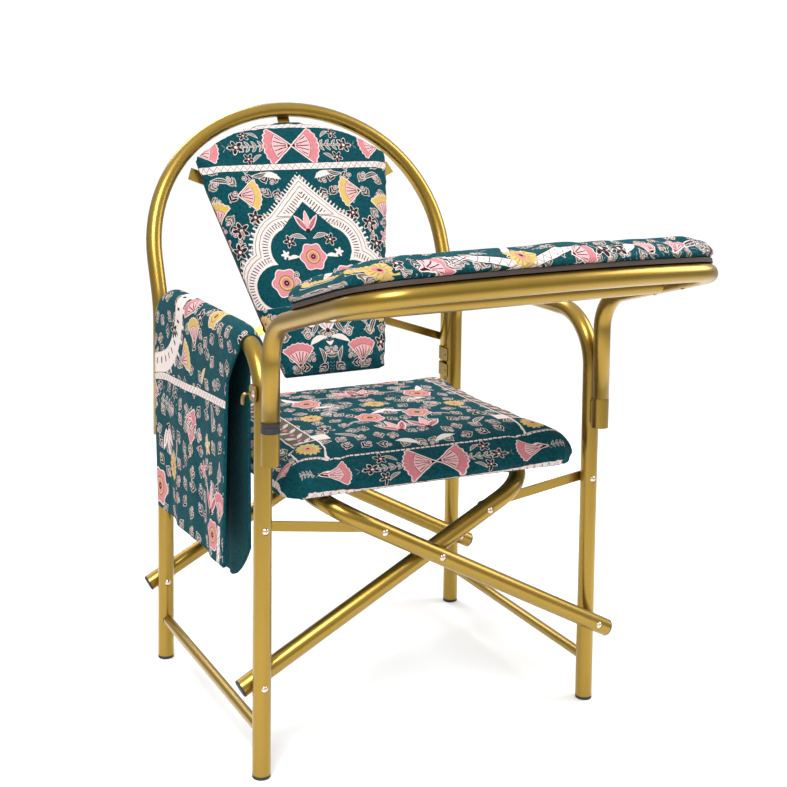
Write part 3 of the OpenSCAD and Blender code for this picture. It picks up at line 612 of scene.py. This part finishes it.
def arm_print(art, flat):
    """The arm cover's outer face: u runs to the rear, and v is the height of the unrolled face."""
    tree = art.tree
    u, v, _ = flat
    whole = join(tree, u, v)
    ring, turn = polar(u - 262.0, v - 596.0)
    arch = abs(ring - 96.0) - 17.0
    art.fill(whole)
    art.lay("white", arch)
    ticks = abs((turn * 15.0).math("SINE")) * 7.0 - 2.2
    art.lay("dark", most(ticks, abs(ring - 93.0) - 5.0))
    art.lay("white", most(ticks - 0.6, abs(ring - 117.0) - 4.0))
    art.stamps(whole, [
        (fan, 150, 520, 150, 0.85, "cream"), (fan, 92, 556, 80, 0.85, "cream"),
        (blossom, 190, 560, 0, 1.0, "dark"), (leaf, 182, 520, 200, 0.9, "dark"),
        (blossom, 70, 600, 0, 0.9, "dark"), (rosette, 20, 612, 0, 0.8, "cream"),
        (fan, 100, 604, 20, 0.9), (leaf, 46, 530, 300, 0.8, "cream"),
        (ribbon, 128, 486, -4, 1.0, "white"), (fan, 262, 446, 10, 0.9),
        (sprig, 250, 440, 185, 0.9, "dark"), (fan, 128, 438, 190, 0.9),
        (sprig, 124, 434, 190, 0.9, "dark"), (blossom, 180, 466, 0, 0.8, "dark"),
        (tulip, 226, 400, 250, 1.1, "white"), (scroll, 190, 380, 150, 1.1, "brown"),
        (marigold, 188, 348, 0, 1.2, "cream"), (rosette, 250, 300, 0, 1.2),
        (blossom, 50, 380, 0, 0.9), (tulip, 8, 330, 90, 1.1), (leaf, 40, 320, 70, 0.9, "dark"),
        (rosette, -2, 300, 0, 0.9), (blossom, 30, 420, 0, 0.9, "cream"),
        (leaf, 10, 450, 80, 1.0, "dark"), (leaf, -20, 380, 100, 0.9, "brown"),
        (fan, -30, 330, 90, 0.8),
    ])
    before = art.result
    past = 330.0 - v
    curve = u - (108.0 + (412.0 - v) * 0.62 - (past * 0.03) * past * 0.2)
    art.stamp(join(tree, v, curve), border, 0, 0, 0, 0.72, "dark")
    art.lay(before, 412.0 - v, 0.8)
    edge = join(tree, v, u + 46.0 - (596.0 - v) * 0.02)
    art.stamp(edge, dashes, 0, -18, 0, 1.3, "white")
    before = art.result
    art.stamp(edge, ribbon, 0, 14, 0, 1.0, "white")
    art.lay(before, 400.0 - v, 0.8)


PRINTS = {"back": back_print, "seat": seat_print, "desk": desk_print, "rim": rim_print,
          "arm": arm_print}


# Materials


def new_material(name):
    """An empty material, its node tree, its shader and the object's coordinates."""
    material = bpy.data.materials.new(name)
    material.use_nodes = True
    tree = material.node_tree
    tree.nodes.clear()
    shader = tree.nodes.new("ShaderNodeBsdfPrincipled")
    output = tree.nodes.new("ShaderNodeOutputMaterial")
    tree.links.new(shader.outputs[0], output.inputs["Surface"])
    coords = tree.nodes.new("ShaderNodeTexCoord")
    return material, tree, shader, Term(tree, coords.outputs["Object"])


def bump(tree, shader, height, strength, distance):
    node = tree.nodes.new("ShaderNodeBump")
    feed_all(tree, node, {"Strength": strength, "Distance": distance, "Height": height})
    tree.links.new(node.outputs[0], shader.inputs["Normal"])


def fabric(name, pattern):
    """Woven cotton. Its print follows the piece's own unrolled map, and a lining has none."""
    material, tree, shader, base = new_material(name)
    mottle = speckle(tree, base, 260.0, 3.0, 0.6)
    tone = speckle(tree, base, 9.0)
    teal = shade("teal")
    deep = tuple(c * 0.24 for c in teal)
    light = tuple(c * 0.66 for c in teal)
    ground = paint(tree, deep, light, (mottle - 0.5).math("MULTIPLY_ADD", 1.9, 0.5, clamp=True))
    source = tree.nodes.new("ShaderNodeAttribute")
    source.attribute_name = "print"
    u, v, height = split(tree, Term(tree, source.outputs["Vector"]))
    wander = speckle(tree, base, 120.0, 1.0)
    u = u + (wander - 0.5) * 1.6
    v = v + (wander - 0.5) * -1.6
    art = Art(tree, ground)
    if pattern in PRINTS:
        PRINTS[pattern](art, (u, v, height))
    worn = tree.nodes.new("ShaderNodeMix")
    worn.data_type = "RGBA"
    worn.blend_type = "MULTIPLY"
    worn.inputs[0].default_value = 1.0
    feed(tree, worn.inputs[6], art.result)
    fleck = (mottle * 0.34 + tone * 0.16) + 0.78
    feed(tree, worn.inputs[7], join(tree, fleck, fleck, fleck))
    tree.links.new(worn.outputs[2], shader.inputs["Base Color"])
    feed_all(tree, shader, {"Roughness": mottle.math("MULTIPLY_ADD", 0.16, 0.76),
                            "Sheen Weight": 0.02, "Sheen Roughness": 0.5,
                            "Specular IOR Level": 0.08})
    x, y, z = split(tree, base)
    warp = (x * 5200.0).math("SINE")
    weft = ((y + z) * 5200.0).math("SINE")
    weave = warp * weft * 0.3 + mottle + speckle(tree, base, 34.0) * 2.2
    bump(tree, shader, weave, 0.5, 0.0006)
    return material


def metal(name, tint, rough, coat, fleck):
    """Painted or plated metal with fine flakes and slight orange peel."""
    material, tree, shader, base = new_material(name)
    fine = speckle(tree, base, 900.0, 2.0, 0.6)
    soft = speckle(tree, base, 16.0, 3.0)
    low = tuple(c * (1 - fleck) for c in tint)
    high = tuple(min(1.0, c * (1 + fleck)) for c in tint)
    mixed = (fine * 0.7 + soft * 0.3 - 0.5).math("MULTIPLY_ADD", 2.2, 0.5, clamp=True)
    feed_all(tree, shader, {"Base Color": paint(tree, low, high, mixed), "Metallic": 0.92,
                            "Roughness": soft.math("MULTIPLY_ADD", 0.1, rough - 0.05),
                            "Coat Weight": coat, "Coat Roughness": 0.22})
    bump(tree, shader, fine + soft * 0.5, 0.12, 0.0003)
    return material


def rubber(name):
    material, tree, shader, base = new_material(name)
    fine = speckle(tree, base, 700.0, 3.0, 0.6)
    black, grey = (0.009, 0.009, 0.010), (0.026, 0.026, 0.028)
    feed_all(tree, shader, {"Base Color": paint(tree, black, grey, fine),
                            "Roughness": fine.math("MULTIPLY_ADD", 0.2, 0.5)})
    bump(tree, shader, fine, 0.25, 0.0004)
    return material


def board(name):
    """Dark plywood backing with a drawn-out grain."""
    material, tree, shader, base = new_material(name)
    place = tree.nodes.new("ShaderNodeMapping")
    feed_all(tree, place, {"Vector": base, "Scale": (14.0, 130.0, 130.0)})
    grain = speckle(tree, Term(tree, place.outputs[0]), 1.0, 4.0, 0.6)
    feed_all(tree, shader, {"Base Color": paint(tree, colour("2a211d"), colour("4a3a32"), grain),
                            "Roughness": grain.math("MULTIPLY_ADD", 0.2, 0.55)})
    bump(tree, shader, grain, 0.3, 0.0005)
    return material


def material_of(name):
    """A finish by name, made the first time that it is asked for."""
    found = bpy.data.materials.get(name)
    if found:
        return found
    if name == "gold_paint_look":
        return metal(name, shade("gold"), 0.30, 0.3, 0.12)
    if name == "rivet_look":
        return metal(name, (0.72, 0.60, 0.52), 0.22, 0.0, 0.05)
    if name == "rubber_look":
        return rubber(name)
    if name == "board_look":
        return board(name)
    return fabric(name, name.split("_")[0])


# Shapes


def place_post(at):
    """The turn that carries the hoop or the desk loop from one side frame to the other."""
    move = Matrix.Translation
    return (move((0, MIDDLE_Y, 0)) @ move((0, at, 0)) @ Matrix.Rotation(sizes().skew, 4, "Z")
            @ move((0, -at, 0)))


def place_back():
    """From the back panel's own plane, x across, y up and z out of its front face."""
    return (place_post(POST_Y) @ Matrix.Translation((0, 0.149, 0.455))
            @ Matrix.Rotation(math.radians(63.6), 4, "X"))


def place_desk():
    """From the desk's own plane, x across, y towards the sitter and z up."""
    return (place_post(-POST_Y) @ Matrix.Translation((0, -0.28584, 0.64243))
            @ Matrix.Rotation(math.radians(-16.3), 4, "X"))


def add_object(name, data):
    made = bpy.data.objects.new(name, data)
    bpy.context.scene.collection.objects.link(made)
    return made


def keep_mesh(name, bm, material):
    mesh = bpy.data.meshes.new(name)
    bm.to_mesh(mesh)
    bm.free()
    mesh.materials.append(material)
    return add_object(name, mesh)


def soften(mesh, degrees):
    for polygon in mesh.polygons:
        polygon.use_smooth = True
    mesh.set_sharp_from_angle(angle=math.radians(degrees))


def solid(piece, thickness, offset):
    wall = piece.modifiers.new("wall", "SOLIDIFY")
    wall.thickness = thickness
    wall.offset = offset
    wall.use_rim = True
    return wall


def drawn_out(bm, edges, step):
    """Draws faces out of the edges by one step, and gives the edges at their far side."""
    made = bmesh.ops.extrude_edge_only(bm, edges=edges)["geom"]
    new = {v for v in made if isinstance(v, bmesh.types.BMVert)}
    bmesh.ops.translate(bm, verts=list(new), vec=step)
    return [e for e in made if isinstance(e, bmesh.types.BMEdge) and set(e.verts) <= new]


def bent_tube(name, start, runs, place, material):
    """A round tube that follows straights and bends from its start, which points up.

    A straight is its length. A bend is its radius, its angle and its direction in degrees.
    """
    bm = bmesh.new()
    bmesh.ops.create_circle(bm, segments=32, radius=sizes().tube / 2,
                            matrix=Matrix.Translation(start))
    point = Vector(start)
    across, up, ahead = Vector((1, 0, 0)), Vector((0, 1, 0)), Vector((0, 0, 1))
    ring = list(bm.edges)
    for run in runs:
        if isinstance(run, float):
            ring = drawn_out(bm, ring, ahead * run)
            point = point + ahead * run
            continue
        radius, angle, direction = run
        aim = math.radians(direction)
        toward = up * math.cos(aim) - across * math.sin(aim)
        centre = point + toward * radius
        axis = ahead.cross(toward)
        steps = max(4, round(angle / 4))
        verts = list({v for e in ring for v in e.verts})
        made = bmesh.ops.spin(bm, geom=verts + ring, cent=centre, axis=axis, dvec=(0, 0, 0),
                              angle=math.radians(angle), steps=steps, use_merge=False,
                              use_duplicate=False)["geom_last"]
        ring = [e for e in made if isinstance(e, bmesh.types.BMEdge)]
        turn = Matrix.Rotation(math.radians(angle), 3, axis)
        point = centre + turn @ (point - centre)
        across, up, ahead = turn @ across, turn @ up, turn @ ahead
    bmesh.ops.remove_doubles(bm, verts=bm.verts, dist=0.00001)
    bmesh.ops.recalc_face_normals(bm, faces=bm.faces)
    bmesh.ops.transform(bm, matrix=place, verts=bm.verts)
    piece = keep_mesh(name, bm, material)
    soften(piece.data, 60.0)
    solid(piece, sizes().wall, -1.0)
    return piece


def evaluated_mesh(piece):
    graph = bpy.context.evaluated_depsgraph_get()
    return bpy.data.meshes.new_from_object(piece.evaluated_get(graph))


def apply_modifiers(piece):
    piece.data = evaluated_mesh(piece)
    piece.modifiers.clear()


def node_copy(node, place):
    """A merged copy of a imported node's mesh in the given local plane."""
    bm = bmesh.new()
    bm.from_mesh(NODES[node].data)
    bmesh.ops.remove_doubles(bm, verts=bm.verts, dist=0.00002)
    bmesh.ops.transform(bm, matrix=place.inverted(), verts=bm.verts)
    return bm


def stuffed(name, node, place, base, top, inset, cap, crown):
    """Stuffs a pad: shrinks and remeshes a packed form, then inflates it as cloth under pressure.

    base and top are the heights of its underside and its highest point in its own plane. The form
    starts smaller by the inset on each side and by the crown at the top. No point moves by more
    than the cap.
    """
    bm = node_copy(node, place)
    low = [min(v.co[i] for v in bm.verts) for i in range(3)]
    high = [max(v.co[i] for v in bm.verts) for i in range(3)]
    middle = [(a + b) / 2 for a, b in zip(low, high)]
    scale = [1 - 2 * inset / (b - a) for a, b in zip(low, high)]
    tall = (top - base - crown) / (high[2] - low[2])
    for vert in bm.verts:
        vert.co.x = middle[0] + (vert.co.x - middle[0]) * scale[0]
        vert.co.y = middle[1] + (vert.co.y - middle[1]) * scale[1]
        vert.co.z = base + (vert.co.z - low[2]) * tall
    piece = keep_mesh(name, bm, material_of("rubber_look"))
    cells = piece.modifiers.new("cells", "REMESH")
    cells.mode = "VOXEL"
    cells.voxel_size = sizes().voxel
    apply_modifiers(piece)
    bm = bmesh.new()
    bm.from_mesh(piece.data)
    for _ in range(3):
        bmesh.ops.smooth_vert(bm, verts=bm.verts, factor=0.5, use_axis_x=True, use_axis_y=True,
                              use_axis_z=True)
    bm.to_mesh(piece.data)
    bm.free()
    start = [v.co.copy() for v in piece.data.vertices]
    held, held_height = piece.vertex_groups.new(name="held"), 0.003
    held.add([i for i, co in enumerate(start) if co.z < base + held_height], 1.0, "REPLACE")
    cloth = piece.modifiers.new("stuffing", "CLOTH")
    cloth.settings.quality = 4
    cloth.settings.mass = 0.3
    cloth.settings.use_pressure = True
    cloth.settings.uniform_pressure_force = 4.0
    cloth.settings.effector_weights.gravity = 0.0
    cloth.settings.vertex_group_mass = "held"
    cloth.collision_settings.use_collision = False
    for number in range(1, 21):
        bpy.context.scene.frame_set(number)
    made = evaluated_mesh(piece)
    moved = [v.co.copy() for v in made.vertices]
    piece.modifiers.clear()
    piece.vertex_groups.clear()
    bpy.context.scene.frame_set(1)
    settled = []
    for old, new in zip(start, moved):
        step = new - old
        if step.length > cap:
            step.length = cap
        settled.extend((old.x + step.x, old.y + step.y, max(old.z + step.z, base)))
    reach = [(min(settled[i::3]), max(settled[i::3])) for i in (0, 1)]
    # Across and along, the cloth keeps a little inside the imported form.
    spare = 0.002
    for i in (0, 1):
        now, want = reach[i][1] - reach[i][0], high[i] - low[i] - spare
        at, target = sum(reach[i]) / 2, (low[i] + high[i]) / 2
        settled[i::3] = [target + (value - at) * want / now for value in settled[i::3]]
    piece.data.vertices.foreach_set("co", settled)
    piece.data.update()
    finer = piece.modifiers.new("finer", "SUBSURF")
    finer.levels = 1
    finer.render_levels = 1
    apply_modifiers(piece)
    return piece


def points(mesh):
    """Each vertex's place, its normal and the level part of that normal."""
    normals = [v.normal.copy() for v in mesh.vertices]
    return [(v.co.copy(), n, Vector((n.x, n.y, 0.0))) for v, n in zip(mesh.vertices, normals)]


def unroll(mesh, top):
    """Stores each point's x and y on the flat cloth, where what hangs lies further out.

    The third value is the point's height.
    """
    # The flat top ends this far below the highest point.
    shoulder = 0.004
    flat = []
    for co, _, out in points(mesh):
        steep = out.length
        drop = max(0.0, top - shoulder - co.z)
        step = out.normalized() * drop * min(1.0, steep * 1.3) if steep > 0.05 else Vector()
        place = (co + step) / MM
        flat.extend((place.x, place.y, co.z / MM))
    store = mesh.attributes.new("print", "FLOAT_VECTOR", "POINT")
    store.data.foreach_set("vector", flat)


def welted(mesh, base, top, depth):
    """Draws the seam in round the rim, a little above the base, and adds soft ripples."""
    seam, width = 0.1, 0.06
    moved = []
    for co, normal, out in points(mesh):
        level = (co.z - base) / (top - base)
        if out.length > 0.5:
            co -= out.normalized() * depth * math.exp(-((level - seam) / width) ** 2)
        ripple = noise.noise(co * 28.0) * 0.0008 + noise.noise(co * 70.0) * 0.0003
        co += normal * ripple * min(1.0, max(0.0, level * 4))
        moved.extend((co.x, co.y, max(co.z, base)))
    mesh.vertices.foreach_set("co", moved)
    mesh.update()


def pad(name, node, place, heights, inset, cap, crown, seam, cloth):
    """A stuffed pad in its cloth, moved from its own plane to its place."""
    base, top = heights
    piece = stuffed(name, node, place, base, top, inset, cap, crown)
    mesh = piece.data
    welted(mesh, base, top, seam)
    unroll(mesh, top)
    mesh.materials.clear()
    mesh.materials.append(material_of(cloth))
    soften(mesh, 70.0)
    mesh.transform(place)
    return piece


# Operators


class CHAIR_OT_camera(bpy.types.Operator):
    """Set up the camera at the photograph's angle"""

    bl_idname = "chair.camera"
    bl_label = "Camera"

    def execute(self, context):
        data = bpy.data.cameras.new("camera")
        camera = add_object("camera", data)
        data.lens = 66.527
        data.sensor_width = 36.0
        data.shift_x = 0.0362
        data.shift_y = -0.2881
        data.clip_end = 50.0
        turn, rise, roll = (math.radians(a) for a in (-25.393, 4.866, 0.649))
        camera.matrix_world = (
            Matrix.Translation((-0.9714, -1.9205, 1.0018)) @ Matrix.Rotation(turn, 4, "Z")
            @ Matrix.Rotation(math.pi / 2 - rise, 4, "X") @ Matrix.Rotation(roll, 4, "Z"))
        context.scene.camera = camera
        return {"FINISHED"}


class CHAIR_OT_finishes(bpy.types.Operator):
    """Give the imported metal, rubber and board parts their finishes"""

    bl_idname = "chair.finishes"
    bl_label = "Finishes"

    def execute(self, context):
        looks = {"gold_paint": "gold_paint_look", "bright_rivets": "rivet_look",
                 "black_rubber": "rubber_look", "dark_board": "board_look",
                 "printed_fabric": "plain_cloth"}
        slots = {row["node"]: row["material_slot"] for row in frame["record"]["subparts"]}
        for name, node in NODES.items():
            node.data.materials.clear()
            node.data.materials.append(material_of(looks[slots[name]]))
        return {"FINISHED"}


class CHAIR_OT_hoop(bpy.types.Operator):
    """Bend the back hoop from one tube"""

    bl_idname = "chair.hoop"
    bl_label = "Back hoop"

    def execute(self, context):
        side = [0.182, (0.150, 20.8, 0.0), 0.051]
        shoulder, crown = (0.245, 60.0, -90.0), (0.29762, 60.0, -90.0)
        runs = side + [shoulder, crown, shoulder] + side[::-1]
        piece = bent_tube("back_hoop_tube", (-TUBE_X, POST_Y, 0.365), runs, place_post(POST_Y),
                          material_of("gold_paint_look"))
        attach(piece, "backrest")
        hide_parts("back_hoop")
        return {"FINISHED"}


class CHAIR_OT_desk_loop(bpy.types.Operator):
    """Bend the desk's tube loop"""

    bl_idname = "chair.desk_loop"
    bl_label = "Desk loop"

    def execute(self, context):
        bend, corner, front = (0.064, 73.7, 180.0), (0.075, 75.96, -90.0), (0.884, 28.08, -90.0)
        runs = [0.0796, bend, 0.1628, corner, front, corner, 0.1628, bend, 0.1056]
        piece = bent_tube("desk_loop_tube", (-TUBE_X, -POST_Y, 0.5014), runs, place_post(-POST_Y),
                          material_of("gold_paint_look"))
        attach(piece, "desk")
        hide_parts("desk_frame")
        return {"FINISHED"}


class CHAIR_OT_seat(bpy.types.Operator):
    """Stuff the seat cushion"""

    bl_idname = "chair.seat"
    bl_label = "Seat cushion"

    def execute(self, context):
        place = Matrix.Translation((0.0, MIDDLE_Y - 0.016, 0.0))
        piece = pad("seat_cushion_pad", "seat_cushion", place, SEAT_HEIGHTS, inset=0.004,
                    cap=0.009, crown=0.006, seam=0.003, cloth="seat_cloth")
        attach(piece, "seat")
        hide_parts("seat_cushion")
        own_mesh(piece)
        return {"FINISHED"}


class CHAIR_OT_back_pad(bpy.types.Operator):
    """Stuff the padding of the back panel"""

    bl_idname = "chair.back_pad"
    bl_label = "Back pad"

    def execute(self, context):
        piece = pad("back_panel_pad", "back_pad", place_back(), BACK_HEIGHTS, inset=0.002,
                    cap=0.005, crown=0.002, seam=0.001, cloth="back_cloth")
        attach(piece, "backrest")
        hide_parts("back_pad")
        return {"FINISHED"}


class CHAIR_OT_desk_pad(bpy.types.Operator):
    """Stuff the padding of the desk"""

    bl_idname = "chair.desk_pad"
    bl_label = "Desk pad"

    def execute(self, context):
        piece = pad("desk_top_pad", "desk_pad", place_desk(), DESK_HEIGHTS, inset=0.003,
                    cap=0.007, crown=0.004, seam=0.001, cloth="desk_cloth")
        piece.data.materials.append(material_of("rim_cloth"))
        level, rim_height = place_desk().inverted(), 0.043
        for polygon in piece.data.polygons:
            if (level @ polygon.center).z < rim_height:
                polygon.material_index = 1
        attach(piece, "desk")
        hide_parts("desk_pad")
        return {"FINISHED"}


def arm_drop(y, rise):
    """How far the arm tube has bent down at y in the chair's own frame, in metres."""
    over = abs(y) - (ARM_HALF - ARM_BEND)
    if over <= 0:
        return 0.0
    bend = ARM_BEND + rise
    return bend - math.sqrt(max(0.0, bend ** 2 - over ** 2))


def draped(u, v):
    """The point of the arm cover at u across the arm and v along it, and its place on the cloth.

    Of the cover's width, 0.4 hangs outside the arm, 0.2 lies over it and 0.4 hangs inside.
    """
    outer, outer_drop, inner_drop, radius = u < 0.5, 0.330, 0.368, 0.0170
    if u < 0.4:
        hang = 1 - u / 0.4
        x, z = -radius, -outer_drop * hang
        flat = z
    elif u > 0.6:
        hang = (u - 0.6) / 0.4
        x, z = radius, -inner_drop * hang
        flat = math.pi * radius - z
    else:
        hang, turn = 0.0, math.pi * (u - 0.4) / 0.2
        x, z = -radius * math.cos(turn), radius * math.sin(turn)
        flat = radius * turn
    front = -0.178 + (0.042 if outer else 0.050) * min(1.0, 5 * hang)
    rear = 0.196 - 0.008 * hang - (0.018 if outer else 0.010) * hang ** 2
    y = front + (rear - front) * v
    if outer:
        fold = 3.2 * hang * (1 + math.sin(math.radians(720 * v + 40)))
        fold += 1.4 * hang * math.sin(math.radians(1500 * v + 200 * hang))
        x -= fold * MM
    else:
        z += 0.058 * max(0.0, 1 - 5 * v) ** 1.5 * hang
        crease = math.exp(-((v - 0.22 - 0.05 * hang) / 0.03) ** 2)
        fold = 1.5 * hang * (1 + math.sin(math.radians(900 * v + 60 * hang)))
        x += (fold + 4 * crease * hang) * MM
    z = ARM_Z + z - arm_drop(y, max(0.0, z)) * max(0.0, 1 - 2 * hang)
    return Vector((x - ARM_X, y + MIDDLE_Y, z)), (y + MIDDLE_Y, ARM_Z + flat)


class CHAIR_OT_arm_cover(bpy.types.Operator):
    """Drape the quilted cover over the left arm"""

    bl_idname = "chair.arm_cover"
    bl_label = "Arm cover"

    def execute(self, context):
        bm = bmesh.new()
        bmesh.ops.create_grid(bm, x_segments=150, y_segments=80, size=0.5)
        layer = bm.verts.layers.float_vector.new("print")
        for vert in bm.verts:
            u, v = vert.co.x + 0.5, vert.co.y + 0.5
            vert.co, (across, flat) = draped(u, v)
            vert[layer] = (across / MM, flat / MM, 0.0)
        piece = keep_mesh("arm_cover_cloth", bm, material_of("arm_cloth"))
        piece.data.materials.append(material_of("plain_cloth"))
        wall = solid(piece, sizes().lining, 0.0)
        wall.material_offset = 1
        wall.material_offset_rim = 1
        soften(piece.data, 80.0)
        for polygon in piece.data.polygons:
            if polygon.center.z < ARM_Z and polygon.center.x > -ARM_X:
                polygon.material_index = 1
        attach(piece, "left_frame")
        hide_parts("arm_cover")
        return {"FINISHED"}


class CHAIR_OT_sling(bpy.types.Operator):
    """Stretch the seat sling between its two rails"""

    bl_idname = "chair.sling"
    bl_label = "Seat sling"

    def execute(self, context):
        low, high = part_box("seat_sling")
        wrap, seam, rows = math.radians(335), 0.004, 14
        bm = bmesh.new()

        def wind(vert, x, angle):
            bmesh.ops.spin(bm, geom=[vert], cent=(x, low.y, RAIL_Z), axis=(0, 1, 0),
                           dvec=(0, 0, 0), angle=angle, steps=24, use_merge=False,
                           use_duplicate=False)

        first = bm.verts.new((-RAIL_X + seam, low.y, RAIL_Z + SLEEVE))
        wind(first, -RAIL_X, -wrap)
        span = bmesh.ops.extrude_vert_indiv(bm, verts=[first])
        last = span["verts"][0]
        bmesh.ops.translate(bm, verts=[last], vec=(2 * (RAIL_X - seam), 0, 0))
        wind(last, RAIL_X, wrap)
        bmesh.ops.subdivide_edges(bm, edges=span["edges"], cuts=16)
        edges = list(bm.edges)
        for _ in range(rows):
            edges = drawn_out(bm, edges, (0, (high.y - low.y) / rows, 0))
        bmesh.ops.recalc_face_normals(bm, faces=bm.faces)
        layer = bm.verts.layers.float_vector.new("print")
        for vert in bm.verts:
            vert[layer] = (vert.co.x / MM, vert.co.y / MM, 0.0)
        piece = keep_mesh("seat_sling_cloth", bm, material_of("plain_cloth"))
        soften(piece.data, 70.0)
        canvas = 0.0018
        solid(piece, canvas, 0.0)
        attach(piece, "seat")
        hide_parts("seat_sling")
        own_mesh(piece)
        return {"FINISHED"}


class CHAIR_OT_stage(bpy.types.Operator):
    """Lay the pale floor and set the studio lights"""

    bl_idname = "chair.stage"
    bl_label = "Stage"

    def execute(self, context):
        bm = bmesh.new()
        bmesh.ops.create_grid(bm, x_segments=1, y_segments=1, size=3.0)
        material, tree, shader, base = new_material("pale_floor")
        tone = speckle(tree, base, 1.5)
        grey, white = (0.95, 0.95, 0.95), (0.97, 0.97, 0.97)
        feed_all(tree, shader, {"Base Color": paint(tree, grey, white, tone), "Roughness": 0.75})
        x, y, _ = split(tree, base)
        away, _ = polar(x, y)
        clear = tree.nodes.new("ShaderNodeBsdfTransparent")
        mixed = tree.nodes.new("ShaderNodeMixShader")
        feed(tree, mixed.inputs[0], (away - 0.9).math("MULTIPLY", 0.7, clamp=True))
        tree.links.new(shader.outputs[0], mixed.inputs[1])
        tree.links.new(clear.outputs[0], mixed.inputs[2])
        output = next(n for n in tree.nodes if n.type == "OUTPUT_MATERIAL")
        tree.links.new(mixed.outputs[0], output.inputs["Surface"])
        floor = keep_mesh("floor", bm, material)
        lights = [
            ("key", (-1.6, -1.9, 3.2), 1.6, 120.0),
            ("fill", (2.6, -0.6, 2.2), 1.6, 45.0),
            ("rear", (-0.2, 2.8, 2.8), 1.8, 60.0),
        ]
        for name, place, size, power in lights:
            data = bpy.data.lights.new(name, "AREA")
            data.shape = "SQUARE"
            data.size = size
            data.energy = power
            light = add_object(name, data)
            light.location = place
            aim = Vector((0, 0, 0.5)) - Vector(place)
            light.rotation_euler = aim.to_track_quat("-Z", "Y").to_euler()
        world = bpy.data.worlds.new("studio")
        world.use_nodes = True
        tree = world.node_tree
        back = tree.nodes["Background"]
        where = tree.nodes.new("ShaderNodeTexCoord")
        _, _, z = split(tree, Term(tree, where.outputs["Generated"]))
        glow = abs(z).math("MULTIPLY_ADD", 0.75, 0.42)
        path = tree.nodes.new("ShaderNodeLightPath")
        seen = Term(tree, path.outputs["Is Camera Ray"])
        back.inputs["Color"].default_value = (1.0, 1.0, 1.0, 1.0)
        feed(tree, back.inputs["Strength"], seen * 1.05 + (1 - seen) * glow)
        context.scene.world = world
        context.scene.view_settings.view_transform = "Standard"
        return {"FINISHED"}


STEPS = [CHAIR_OT_camera, CHAIR_OT_finishes, CHAIR_OT_hoop, CHAIR_OT_desk_loop, CHAIR_OT_seat,
         CHAIR_OT_back_pad, CHAIR_OT_desk_pad, CHAIR_OT_arm_cover, CHAIR_OT_sling, CHAIR_OT_stage]


class CHAIR_PT_panel(bpy.types.Panel):
    """Lists the chair's sizes, colours and steps"""

    bl_idname = "CHAIR_PT_panel"
    bl_label = "Prayer chair"
    bl_space_type = "VIEW_3D"
    bl_region_type = "UI"
    bl_category = "Chair"

    def draw(self, context):
        layout = self.layout
        for group in (context.scene.chair_sizes, context.scene.chair_colours):
            for name in group.bl_rna.properties.keys():
                if name not in ("rna_type", "name"):
                    layout.prop(group, name)
        for step in STEPS:
            layout.operator(step.bl_idname)


CLASSES = [ChairSizes, ChairColours, *STEPS, CHAIR_PT_panel]


def register():
    for item in CLASSES:
        bpy.utils.register_class(item)
    bpy.types.Scene.chair_sizes = bpy.props.PointerProperty(type=ChairSizes)
    bpy.types.Scene.chair_colours = bpy.props.PointerProperty(type=ChairColours)


def unregister():
    del bpy.types.Scene.chair_colours
    del bpy.types.Scene.chair_sizes
    for item in reversed(CLASSES):
        bpy.utils.unregister_class(item)


def main():
    register()
    bpy.ops.chair.camera()
    bpy.ops.chair.finishes()
    bpy.ops.chair.hoop()
    bpy.ops.chair.desk_loop()
    bpy.ops.chair.seat()
    bpy.ops.chair.back_pad()
    bpy.ops.chair.desk_pad()
    bpy.ops.chair.arm_cover()
    bpy.ops.chair.sling()
    bpy.ops.chair.stage()


if __name__ == "__main__":
    main()
